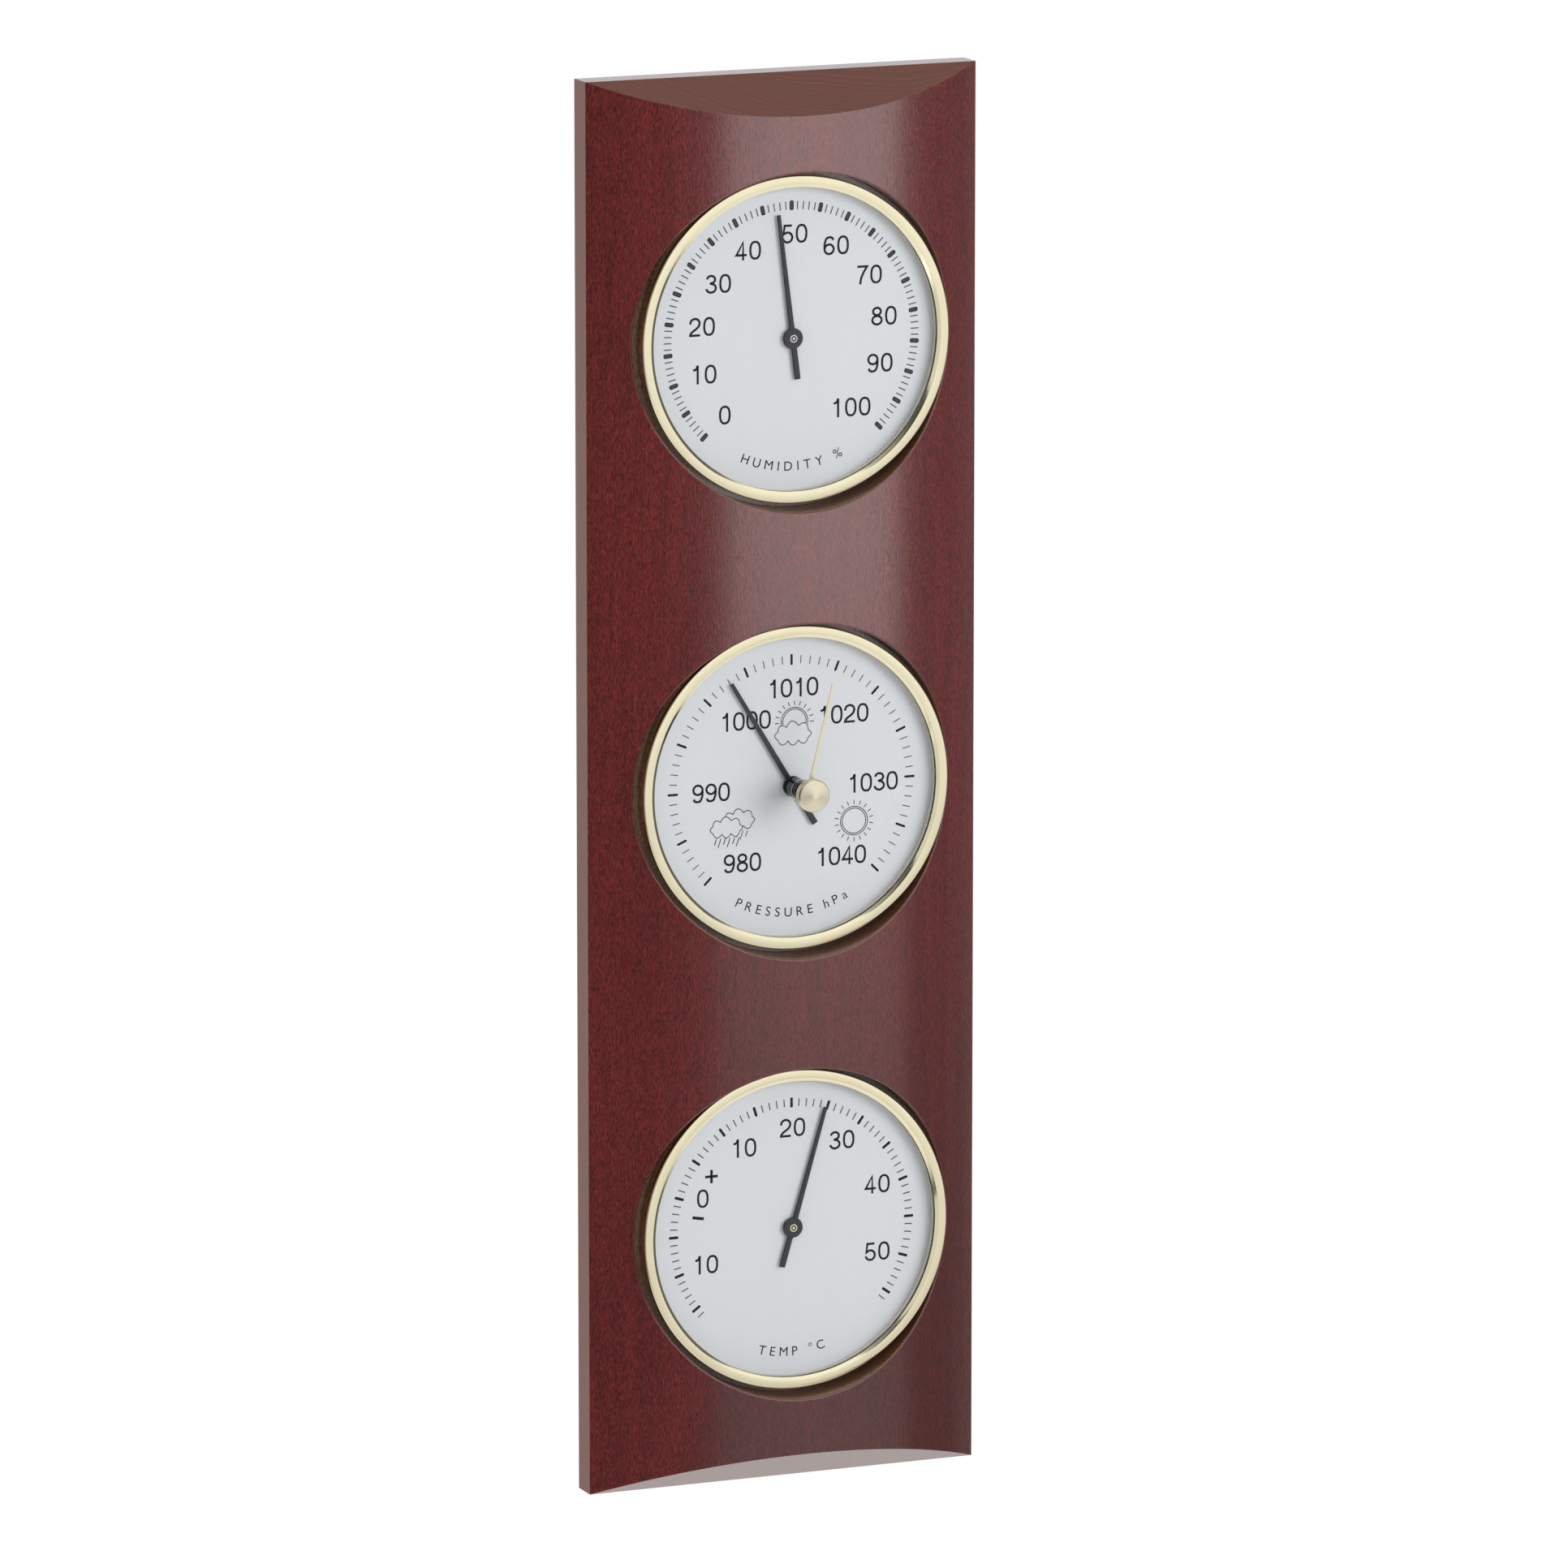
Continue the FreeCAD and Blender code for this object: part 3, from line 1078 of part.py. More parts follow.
def check_parts():
    doc.recompute()
    for item in doc.Objects:
        if "Invalid" in item.State or "Error" in item.State:
            raise RuntimeError("%s failed: %s" % (item.Name, item.State))
    for part in parts:
        if part.Shape.isNull() or not part.Shape.isValid() or not part.Shape.Solids:
            raise RuntimeError("%s has no valid solid" % part.Label)


def write_parts():
    os.makedirs("parts", exist_ok=True)
    for part in parts:
        part.Shape.exportStep("parts/%s.step" % part.Label)
        print("%-24s solids %d  volume %9.3f" % (part.Label, len(part.Shape.Solids), part.Shape.Volume))


build_board()
build_hanger()
build_coil_instrument("hygro", HYGRO_HEIGHT, S.hygro_angle, S.hygro_tip, S.hygro_tail)
build_coil_instrument("thermo", THERMO_HEIGHT, S.thermo_angle, S.thermo_tip, S.thermo_tail)
build_base()
build_front("baro", BARO_HEIGHT, S.glass_bush_radius, S.glass_bush_radius)
build_capsule()
build_frame_plates()
build_rocker()
build_link()
build_gears()
build_arbors()
build_set_hand()
check_parts()
write_parts()
print("nodes", len(parts))
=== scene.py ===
"""Looks of the wall weather station: finishes, bezels, printed dials, pointers, stage, light and camera.

The frame's +X is the viewer's right, +Y runs into the wall and +Z is up. Lengths are in metres, and
sizes written in millimetres are multiplied by MM. "Depth" is the distance in front of the wall.
"""

import bmesh
import bpy
import json
import math
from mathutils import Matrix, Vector

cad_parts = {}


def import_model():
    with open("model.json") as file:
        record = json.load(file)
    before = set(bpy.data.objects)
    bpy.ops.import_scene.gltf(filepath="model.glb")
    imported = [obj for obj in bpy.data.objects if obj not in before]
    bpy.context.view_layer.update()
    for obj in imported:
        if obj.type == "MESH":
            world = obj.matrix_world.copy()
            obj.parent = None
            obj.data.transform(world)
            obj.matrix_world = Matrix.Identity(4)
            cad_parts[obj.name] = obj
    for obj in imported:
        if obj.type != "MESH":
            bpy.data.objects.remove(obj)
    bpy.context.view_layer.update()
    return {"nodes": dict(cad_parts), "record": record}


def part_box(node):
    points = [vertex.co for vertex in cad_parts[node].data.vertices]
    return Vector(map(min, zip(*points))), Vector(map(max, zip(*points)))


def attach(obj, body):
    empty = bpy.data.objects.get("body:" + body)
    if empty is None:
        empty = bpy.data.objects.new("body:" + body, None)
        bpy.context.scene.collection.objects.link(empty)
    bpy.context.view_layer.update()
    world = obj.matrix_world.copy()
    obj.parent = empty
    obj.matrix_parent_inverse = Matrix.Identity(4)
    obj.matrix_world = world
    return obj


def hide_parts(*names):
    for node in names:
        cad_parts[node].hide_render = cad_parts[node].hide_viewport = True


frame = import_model()

MM = 0.001
INK_HEIGHT = 0.02 * MM             # print stands this far above the dial
DIALS = ("hygro", "baro", "thermo")


# ---------------------------------------------------------------- places read from the frame

def node_centre(node):
    low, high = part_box(node)
    return (low + high) / 2


def front_depth(node):
    """How far a node's front stands before the wall."""
    return -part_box(node)[0].y


def back_depth(node):
    return -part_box(node)[1].y


def outer_radius(node):
    low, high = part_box(node)
    return (high.x - low.x) / 2


CENTRE = {name: node_centre(name + "_dial") for name in DIALS}
DIAL_FACE = front_depth("hygro_dial")
RECESS_MARGIN = 1.4 * MM           # between a bezel and the reach of the recess' stain
RECESS_RADIUS = outer_radius("hygro_bezel") + RECESS_MARGIN


# ---------------------------------------------------------------- mesh helpers

def add_mesh(name, points, faces, material, body, smooth_angle=30.0):
    """A piece from points and faces, shaded smooth except where its faces meet more sharply."""
    mesh = bpy.data.meshes.new(name)
    mesh.from_pydata([tuple(p) for p in points], [], faces)
    mesh.validate()
    mesh.shade_smooth()
    mesh.set_sharp_from_angle(angle=math.radians(smooth_angle))
    mesh.materials.append(material)
    piece = bpy.data.objects.new(name, mesh)
    bpy.context.scene.collection.objects.link(piece)
    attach(piece, body)
    return piece


def lathe(name, centre, profile, material, body, steps=256):
    """Turns a closed (radius, depth) outline about the depth axis through a dial's centre. The outline runs
    outwards along its back and inwards along its front, and a point on the axis stays one point."""
    points = []
    rings = []
    for radius, depth in profile:
        turns = steps if radius > 0 else 1
        rings.append(range(len(points), len(points) + turns))
        for turn in range(turns):
            angle = 2 * math.pi * turn / turns
            points.append((centre.x + radius * math.cos(angle), -depth, centre.z + radius * math.sin(angle)))
    faces = []
    for here, there in zip(rings, rings[1:] + rings[:1]):
        if len(here) == len(there) == 1:
            continue
        for step in range(steps):
            after = step + 1
            corners = (here[after % len(here)], there[after % len(there)],
                       there[step % len(there)], here[step % len(here)])
            faces.append(list(dict.fromkeys(corners)))
    return add_mesh(name, points, faces, material, body)


def rounded(corners, radius=0.0, steps=4):
    """The closed outline with each corner replaced by a small curve. A corner's own radius may be given
    third."""
    longest_reach = 0.45               # of the side that a curve eats into
    outline = []
    count = len(corners)
    for i, corner in enumerate(corners):
        here = Vector(corner[:2])
        size = corner[2] if len(corner) > 2 else radius
        if size == 0:
            outline.append(tuple(here))
            continue
        before = Vector(corners[i - 1][:2]) - here
        after = Vector(corners[(i + 1) % count][:2]) - here
        turn = before.angle(after)
        reach = min(size / math.tan(turn / 2), before.length * longest_reach, after.length * longest_reach)
        start = here + before.normalized() * reach
        end = here + after.normalized() * reach
        for step in range(steps + 1):
            share = step / steps
            # quadratic curve through the corner's two tangent points
            point = start * (1 - share) ** 2 + here * 2 * share * (1 - share) + end * share ** 2
            outline.append(tuple(point))
    return outline


class Print:
    """Thin solid ink shapes on a dial, gathered into one mesh. Shapes are (x, z) points in millimetres."""

    def __init__(self, centre, face_depth, height=INK_HEIGHT):
        self.centre = centre
        self.back = face_depth
        self.front = face_depth + height
        self.points = []
        self.faces = []

    def _add_ring(self, outline):
        """Adds the outline at the ink's back and front and returns the first index and the count."""
        first = len(self.points)
        for depth in (self.back, self.front):
            for x, z in outline:
                self.points.append((self.centre.x + x * MM, -depth, self.centre.z + z * MM))
        return first, len(outline)

    def polygon(self, outline):
        """A filled shape, given anticlockwise as seen from the front."""
        first, count = self._add_ring(outline)
        self.faces.append([first + count + i for i in range(count)])
        self.faces.append([first + i for i in reversed(range(count))])
        for i in range(count):
            j = (i + 1) % count
            self.faces.append([first + i, first + j, first + count + j, first + count + i])

    def stroke(self, path, width, closed=False):
        """A line of even width along the path, with square ends."""
        sharpest = 0.5                 # limits how far a sharp bend's outer corner reaches
        left, right = [], []
        count = len(path)
        for i in range(count):
            before = path[i - 1] if closed or i > 0 else None
            after = path[(i + 1) % count] if closed or i < count - 1 else None
            normals = []
            for a, b in ((before, path[i]), (path[i], after)):
                if a is not None and b is not None:
                    run = Vector((b[0] - a[0], b[1] - a[1])).normalized()
                    normals.append(Vector((-run.y, run.x)))
            normal = sum(normals, Vector((0, 0))).normalized()
            reach = width / 2 / max(sharpest, normal.dot(normals[0]))
            left.append((path[i][0] + normal.x * reach, path[i][1] + normal.y * reach))
            right.append((path[i][0] - normal.x * reach, path[i][1] - normal.y * reach))
        left_first, _ = self._add_ring(left)
        right_first, _ = self._add_ring(right)
        spans = count if closed else count - 1
        for i in range(spans):
            j = (i + 1) % count
            a, b = left_first + i, left_first + j
            c, d = right_first + j, right_first + i
            self.faces.append([a + count, d + count, c + count, b + count])
            self.faces.append([a, b, c, d])
            self.faces.append([a, a + count, b + count, b])
            self.faces.append([d + count, d, c, c + count])
        if not closed:
            for a, d in ((left_first, right_first), (right_first + count - 1, left_first + count - 1)):
                self.faces.append([a, d, d + count, a + count])

    def build(self, name, material):
        add_mesh(name, self.points, self.faces, material, "board")


def arc(cx, cz, rx, rz, start, end, steps=24):
    """Points on an ellipse from one angle to another, in degrees anticlockwise from +X."""
    points = []
    for step in range(steps + 1):
        angle = math.radians(start + (end - start) * step / steps)
        points.append((cx + rx * math.cos(angle), cz + rz * math.sin(angle)))
    return points


def turned(points, degrees, x=0.0, z=0.0):
    """Points turned clockwise about the origin, then moved."""
    angle = -math.radians(degrees)
    c, s = math.cos(angle), math.sin(angle)
    return [(x + px * c - pz * s, z + px * s + pz * c) for px, pz in points]


def on_dial(radius, degrees):
    """A place on a dial, with the angle clockwise from the top."""
    angle = math.radians(degrees)
    return radius * math.sin(angle), radius * math.cos(angle)


def smooth(points, steps=6):
    """A smooth open path through the points, by the Catmull-Rom formula."""
    path = []
    for i in range(len(points) - 1):
        p1, p2 = Vector(points[i]), Vector(points[i + 1])
        p0 = Vector(points[i - 1]) if i else p1
        p3 = Vector(points[i + 2]) if i + 2 < len(points) else p2
        for step in range(steps):
            t = step / steps
            path.append(tuple(0.5 * (2 * p1 + (p2 - p0) * t + (2 * p0 - 5 * p1 + 4 * p2 - p3) * t ** 2
                                     + (3 * p1 - p0 - 3 * p2 + p3) * t ** 3)))
    return path + [tuple(points[-1])]


# ---------------------------------------------------------------- shader helpers

MOST_NOISE = (0.3, 0.7)            # nearly all of a noise lies between these


def srgb(red, green, blue):
    """A colour written in 0 to 255 display values, as linear light."""
    linear = []
    for value in (red, green, blue):
        share = value / 255
        linear.append(share / 12.92 if share <= 0.04045 else ((share + 0.055) / 1.055) ** 2.4)
    return (*linear, 1.0)


class Nodes:
    """Short calls for the nodes of a tree."""

    def __init__(self, tree, coordinates):
        self.tree = tree
        self.coordinates = self.node("ShaderNodeTexCoord").outputs[coordinates]

    def node(self, kind, **settings):
        node = self.tree.nodes.new(kind)
        for key, value in settings.items():
            setattr(node, key, value)
        return node

    def feed(self, source, target):
        """Links a socket, or writes a plain number or vector, into an input."""
        if isinstance(source, bpy.types.NodeSocket):
            self.tree.links.new(source, target)
        else:
            target.default_value = source

    def math(self, operation, first, second=0.0):
        node = self.node("ShaderNodeMath", operation=operation)
        self.feed(first, node.inputs[0])
        self.feed(second, node.inputs[1])
        return node.outputs[0]

    def vector(self, operation, first, second=(0, 0, 0)):
        node = self.node("ShaderNodeVectorMath", operation=operation)
        self.feed(first, node.inputs[0])
        self.feed(second, node.inputs[1])
        return node.outputs["Value" if operation in ("LENGTH", "DOT_PRODUCT") else "Vector"]

    def noise(self, cell, detail=2.0, roughness=0.5, vector=None):
        """Noise whose lumps are about the size of cell, given in millimetres along x, y and z."""
        scaled = self.vector("MULTIPLY", vector or self.coordinates, [1 / (size * MM) for size in cell])
        node = self.node("ShaderNodeTexNoise")
        self.feed(scaled, node.inputs["Vector"])
        node.inputs["Scale"].default_value = 1.0
        node.inputs["Detail"].default_value = detail
        node.inputs["Roughness"].default_value = roughness
        return node.outputs["Fac"]

    def span(self, value, low, high, to_low=0.0, to_high=1.0, kind="LINEAR"):
        node = self.node("ShaderNodeMapRange", interpolation_type=kind)
        for source, socket in ((value, "Value"), (low, "From Min"), (high, "From Max"),
                               (to_low, "To Min"), (to_high, "To Max")):
            self.feed(source, node.inputs[socket])
        return node.outputs["Result"]

    def mix(self, factor, first, second):
        """Mixes two colours. The node repeats its sockets' names for each kind of data, so these go by
        number."""
        colour_a, colour_b, colour_result = 6, 7, 2
        node = self.node("ShaderNodeMix", data_type="RGBA")
        self.feed(factor, node.inputs["Factor"])
        self.feed(first, node.inputs[colour_a])
        self.feed(second, node.inputs[colour_b])
        return node.outputs[colour_result]


class Shader(Nodes):
    """A material with a Principled shader, and the nodes that feed it."""

    def __init__(self, name, colour, roughness, **sockets):
        self.material = bpy.data.materials.new(name)
        self.material.use_nodes = True
        super().__init__(self.material.node_tree, "Object")
        self.surface = self.tree.nodes["Principled BSDF"]
        self.set("Base Color", srgb(*colour))
        self.set("Roughness", roughness)
        for socket, value in sockets.items():
            self.set(socket.replace("_", " "), value)

    def set(self, socket, value):
        self.surface.inputs[socket].default_value = value

    def from_nearest_dial(self):
        """Distance from the axis of the nearest dial."""
        nearest = 1.0                  # farther than any part of the object
        for centre in CENTRE.values():
            flat = self.vector("MULTIPLY", self.vector("SUBTRACT", self.coordinates, centre), (1.0, 0.0, 1.0))
            nearest = self.math("MINIMUM", nearest, self.vector("LENGTH", flat))
        return nearest

    def colour(self, source):
        self.feed(source, self.surface.inputs["Base Color"])

    def rough(self, source):
        self.feed(source, self.surface.inputs["Roughness"])

    def bump(self, height, distance, strength=1.0, edge=0.0):
        """Fine relief, over edges that look rounded by the given radius in millimetres."""
        node = self.node("ShaderNodeBump")
        if edge:
            worn = self.node("ShaderNodeBevel", samples=6)
            worn.inputs["Radius"].default_value = edge * MM
            self.feed(worn.outputs["Normal"], node.inputs["Normal"])
        self.feed(height, node.inputs["Height"])
        node.inputs["Distance"].default_value = distance * MM
        node.inputs["Strength"].default_value = strength
        for socket in ("Normal", "Coat Normal"):
            self.feed(node.outputs["Normal"], self.surface.inputs[socket])


def metal(name, colour, roughness, cell=(0.6, 0.6, 0.6), spread=0.25, relief=0.002, spun=False):
    """A metal whose polish and colour vary over cells of the given size, or over rings about the dial if
    spun."""
    shader = Shader(name, colour, roughness, Metallic=1.0)
    place = shader.coordinates
    if spun:
        rings = shader.node("ShaderNodeCombineXYZ")
        shader.feed(shader.from_nearest_dial(), rings.inputs["X"])
        place = rings.outputs["Vector"]
    grain = shader.noise(cell, detail=3.0, vector=place)
    shader.rough(shader.span(grain, *MOST_NOISE, roughness * (1 - spread), roughness * (1 + spread)))
    darker = [value * 0.9 for value in srgb(*colour)[:3]] + [1.0]
    shader.colour(shader.mix(shader.noise((9, 9, 9)), srgb(*colour), darker))
    if relief:
        shader.bump(grain, relief)
    return shader.material


# ---------------------------------------------------------------- materials

def wood_material():
    """Stained mahogany under satin lacquer, its grain running up the board."""
    shader = Shader("mahogany", (94, 33, 32), 0.5, Coat_Weight=1.0, Coat_Roughness=0.2, Coat_IOR=1.5,
                    Specular_IOR_Level=0.15)
    place = shader.node("ShaderNodeSeparateXYZ")
    shader.feed(shader.coordinates, place.inputs["Vector"])
    x, z = place.outputs["X"], place.outputs["Z"]

    # growth rings round an upright axis behind the board's right half
    pith = (30 * MM, 70 * MM, 0.0)
    across = shader.vector("MULTIPLY", shader.vector("SUBTRACT", shader.coordinates, pith), (1.0, 1.0, 0.0))
    wander = shader.span(shader.noise((26, 26, 140), detail=3.0), 0.0, 1.0, -4 * MM, 4 * MM)
    ring_place = shader.node("ShaderNodeCombineXYZ")
    shader.feed(shader.math("ADD", shader.vector("LENGTH", across), wander), ring_place.inputs["X"])
    shader.feed(z, ring_place.inputs["Z"])
    bands = shader.noise((3.0, 3.0, 200), detail=2.0, vector=ring_place.outputs["Vector"])
    lines = shader.noise((0.4, 0.4, 60), detail=2.0, roughness=0.6, vector=ring_place.outputs["Vector"])
    fibres = shader.noise((0.30, 0.30, 1.2), detail=3.0, roughness=0.6)
    flecks = shader.noise((0.28, 0.28, 1.1), detail=2.0)
    pores = shader.noise((0.26, 0.26, 2.4), detail=1.0)

    tone = shader.mix(shader.span(bands, 0.35, 0.65), srgb(103, 25, 26), srgb(120, 36, 34))
    tone = shader.mix(shader.span(lines, 0.45, 0.7, 0.0, 0.45), tone, srgb(66, 20, 22))
    tone = shader.mix(shader.span(fibres, 0.36, 0.60, 0.9, 0.0), tone, srgb(60, 12, 14))
    tone = shader.mix(shader.span(flecks, 0.50, 0.68, 0.0, 0.35), tone, srgb(158, 60, 54))
    tone = shader.mix(shader.span(pores, 0.54, 0.68, 0.0, 0.5), tone, srgb(48, 14, 18))

    # painted shade: darker away from the left edge, where the key lamp lights the curved face more, and more
    # so towards the lower end
    painted_shade = shader.math("MULTIPLY", shader.span(z, 40 * MM, -165 * MM, 0.28, 0.6, kind="SMOOTHSTEP"),
                        shader.span(x, -45 * MM, -12 * MM, kind="SMOOTHSTEP"))
    tone = shader.mix(painted_shade, tone, srgb(36, 14, 14))

    # the stain takes browner on end grain and inside the dials' recesses
    normal = shader.node("ShaderNodeSeparateXYZ")
    shader.feed(shader.node("ShaderNodeTexCoord").outputs["Normal"], normal.inputs["Vector"])
    end_grain = shader.span(shader.math("ABSOLUTE", normal.outputs["Z"]), 0.3, 0.75)
    side = shader.span(shader.math("ABSOLUTE", normal.outputs["X"]), 0.8, 0.95, 0.0, 0.6)
    end_tone = shader.mix(shader.span(lines, 0.38, 0.62), srgb(118, 60, 38), srgb(82, 40, 24))
    tone = shader.mix(shader.math("MULTIPLY", end_grain, 0.85), tone, end_tone)
    tone = shader.mix(side, tone, srgb(142, 68, 38))
    soft_edge = 0.3 * MM
    near_dial = shader.span(shader.from_nearest_dial(), RECESS_RADIUS, RECESS_RADIUS + soft_edge, 1.0, 0.0)
    inside = shader.math("MULTIPLY", shader.span(place.outputs["Y"], -6 * MM, -5 * MM, 1.0, 0.0), near_dial)
    inside_tone = shader.mix(shader.span(fibres, 0.35, 0.65), srgb(62, 36, 24), srgb(116, 72, 46))
    tone = shader.mix(inside, tone, inside_tone)
    shader.colour(tone)
    relief = shader.math("SUBTRACT", shader.math("MULTIPLY", flecks, 0.5), shader.span(pores, 0.54, 0.72))
    shader.bump(relief, 0.02, 0.55, edge=0.35)
    return shader.material


def dial_material():
    """Matte silver-grey paint with the faintest orange peel."""
    shader = Shader("dial_paint", (216, 217, 220), 0.62, Specular_IOR_Level=0.3)
    mottle = shader.noise((0.12, 0.12, 0.12), detail=2.0)
    shader.colour(shader.mix(shader.span(mottle, 0.35, 0.65), srgb(211, 212, 215), srgb(221, 222, 225)))
    shader.rough(shader.span(mottle, *MOST_NOISE, 0.55, 0.7))
    shader.bump(mottle, 0.004, 0.5)
    return shader.material


def ink_material(name, colour):
    shader = Shader(name, colour, 0.6, Specular_IOR_Level=0.12)
    shader.rough(shader.span(shader.noise((0.2, 0.2, 0.2)), *MOST_NOISE, 0.5, 0.7))
    return shader.material


def glass_material():
    """Clear glass as see-through with a reflection that grows at grazing angles, so that light reaches the
    dial."""
    roughness = 0.02
    reflection = 0.25                  # of what plain glass would mirror
    shader = Shader("glass", (245, 250, 250), roughness)
    clear = shader.node("ShaderNodeBsdfTransparent")
    clear.inputs["Color"].default_value = (0.985, 0.99, 0.99, 1.0)
    gloss = shader.node("ShaderNodeBsdfGlossy")
    gloss.inputs["Roughness"].default_value = roughness
    fresnel = shader.node("ShaderNodeFresnel")
    fresnel.inputs["IOR"].default_value = 1.45
    blend = shader.node("ShaderNodeMixShader")
    shader.feed(shader.math("MULTIPLY", fresnel.outputs[0], reflection), blend.inputs[0])
    shader.feed(clear.outputs[0], blend.inputs[1])
    shader.feed(gloss.outputs[0], blend.inputs[2])
    shader.feed(blend.outputs[0], shader.tree.nodes["Material Output"].inputs["Surface"])
    return shader.material


def paint(name, colour, roughness, **sockets):
    """A painted, plastic or rubber surface with a fine grain in its gloss."""
    shader = Shader(name, colour, roughness, **sockets)
    grain = shader.noise((0.3, 0.3, 0.3), detail=2.0)
    shader.rough(shader.span(grain, *MOST_NOISE, roughness * 0.8, min(1.0, roughness * 1.2)))
    lighter = [value * 1.15 for value in srgb(*colour)[:3]] + [1.0]
    shader.colour(shader.mix(shader.noise((4, 4, 4)), srgb(*colour), lighter))
    shader.bump(grain, 0.003, 0.6)
    return shader.material


MATERIAL = {
    "mahogany": wood_material(),
    "polished_brass": metal("polished_brass", (241, 232, 198), 0.12, relief=0),
    "spacer_brass": metal("spacer_brass", (236, 233, 222), 0.5, relief=0),
    "knob_brass": metal("knob_brass", (238, 228, 202), 0.34, cell=(0.16, 1, 1), relief=0.02, spun=True),
    "dull_brass": metal("dull_brass", (196, 160, 92), 0.38, cell=(0.1, 0.1, 2.0)),
    "plated_steel": metal("plated_steel", (190, 190, 190), 0.32, cell=(2.0, 0.1, 0.1)),
    "case_metal": metal("case_metal", (182, 184, 186), 0.36, cell=(0.3, 1, 1), relief=0.01, spun=True),
    "band_rubber": paint("band_rubber", (34, 34, 35), 0.8),
    "dial_paint": dial_material(),
    "pointer_black": paint("pointer_black", (36, 35, 42), 0.34),
    "glass": glass_material(),
    "spring_strip": metal("spring_strip", (176, 160, 132), 0.28, cell=(0.1, 0.1, 2.0)),
    "capsule_metal": metal("capsule_metal", (205, 200, 182), 0.26),
    "black_plastic": paint("black_plastic", (20, 20, 22), 0.25),
    "pale_metal": metal("pale_metal", (226, 226, 224), 0.24, relief=0),
}
INK = ink_material("dial_ink", (22, 24, 30))
GREY_INK = ink_material("dial_ink_grey", (78, 80, 86))
PILL_INK = ink_material("dial_ink_pill", (62, 64, 70))

for subpart in frame["record"]["subparts"]:
    object_data = frame["nodes"][subpart["node"]].data
    object_data.materials.clear()
    object_data.materials.append(MATERIAL[subpart["material_slot"]])


# ---------------------------------------------------------------- bezels

def bezel(name):
    """A ring with a flat front, rolled outer edge and an inner slope that runs down onto the glass."""
    node = name + "_bezel"
    back, front = back_depth(node), front_depth(node)
    outer = outer_radius(node)
    skirt_inner = outer - 1.1 * MM
    face_inner = outer - 2.2 * MM
    lip_inner = outer - 3.0 * MM
    glass_front = front_depth(name + "_glass")
    lip_front = glass_front + 0.06 * MM
    back_round, rolled_round, face_round, lip_round = 0.1 * MM, 0.35 * MM, 0.12 * MM, 0.03 * MM
    profile = rounded([
        (skirt_inner, back), (outer, back, back_round), (outer, front, rolled_round),
        (face_inner, front, face_round), (lip_inner, lip_front, lip_round),
        (lip_inner, glass_front), (skirt_inner, glass_front),
    ])
    piece = lathe(name + "_bezel_ring", CENTRE[name], profile, MATERIAL["polished_brass"], "board")
    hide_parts(node)


for dial in DIALS:
    bezel(dial)


# ---------------------------------------------------------------- print on the dials

CAP_HEIGHT = 4.85                  # of the numbers, in millimetres
DIGIT_STROKE = 0.122               # of the cap height
DIGIT_PITCH = 0.79                 # of the cap height
DIGIT_SPREAD = 1.1                 # widens the digits' paths
CLOSE_PITCH = 0.74                 # of the cap height, for numbers of four digits
LOW, HIGH = DIGIT_STROKE / 2, 1 - DIGIT_STROKE / 2


def oval(cx, cz, rx, rz, power=2.0, steps=32):
    """A closed ellipse, squarer as the power grows."""
    points = []
    for step in range(steps):
        angle = 2 * math.pi * step / steps
        c, s = math.cos(angle), math.sin(angle)
        points.append((cx + rx * math.copysign(abs(c) ** (2 / power), c),
                       cz + rz * math.copysign(abs(s) ** (2 / power), s)))
    return points


def half_turn(strokes):
    """The strokes turned upside down, as a nine is a six."""
    return [([(-x, 1 - z) for x, z in path], closed) for path, closed in strokes]


# a digit's strokes are (path, closed), one cap high and centred on x = 0
SIX = [
    (oval(0.0, 0.31, 0.235, 0.31 - LOW), True),
    (smooth([(-0.235, 0.36), (-0.225, 0.62), (-0.13, 0.88), (0.03, HIGH), (0.16, 0.90), (0.215, 0.78)]),
     False),
]
DIGITS = {
    "0": [(oval(0.0, 0.5, 0.245, 0.5 - LOW, 2.4), True)],
    "1": [([(0.06, 0.0), (0.06, 1.0)], False),
          (smooth([(-0.17, 0.74), (-0.06, 0.77), (0.02, 0.86), (0.05, 0.98)]), False)],
    "2": [(arc(0.0, 0.70, 0.235, HIGH - 0.70, 190, -20)
           + smooth([(0.19, 0.53), (0.06, 0.40), (-0.12, 0.27), (-0.22, 0.15), (-0.245, LOW)])[1:]
           + [(0.265, LOW)], False)],
    "3": [(arc(0.0, 0.745, 0.205, HIGH - 0.745, 175, -90), False),
          (arc(0.0, 0.29, 0.24, 0.29 - LOW, 90, -175), False),
          ([(-0.07, 0.537), (0.01, 0.537)], False)],
    "4": [([(0.1, 0.0), (0.1, HIGH), (-0.245, 0.275), (0.29, 0.275)], False)],
    "5": [([(0.225, HIGH), (-0.15, HIGH), (-0.205, 0.47)]
           + arc(0.0, 0.32, 0.24, 0.32 - LOW, 138, -170)[1:], False)],
    "6": SIX,
    "7": [([(-0.25, HIGH), (0.255, HIGH)]
           + smooth([(0.255, 0.93), (0.08, 0.64), (-0.05, 0.32), (-0.10, 0.0)])[1:], False)],
    "8": [(oval(0.0, 0.745, 0.2, HIGH - 0.745), True), (oval(0.0, 0.285, 0.24, 0.285 - LOW), True)],
    "9": half_turn(SIX),
}


def number(ink, text, x, z, pitch=DIGIT_PITCH):
    """A number centred on a place of the dial."""
    for i, digit in enumerate(text):
        shift = (i - (len(text) - 1) / 2) * pitch
        for path, closed in DIGITS[digit]:
            placed = [(x + (px * DIGIT_SPREAD + shift) * CAP_HEIGHT, z + (pz - 0.5) * CAP_HEIGHT)
                      for px, pz in path]
            ink.stroke(placed, DIGIT_STROKE * CAP_HEIGHT, closed)


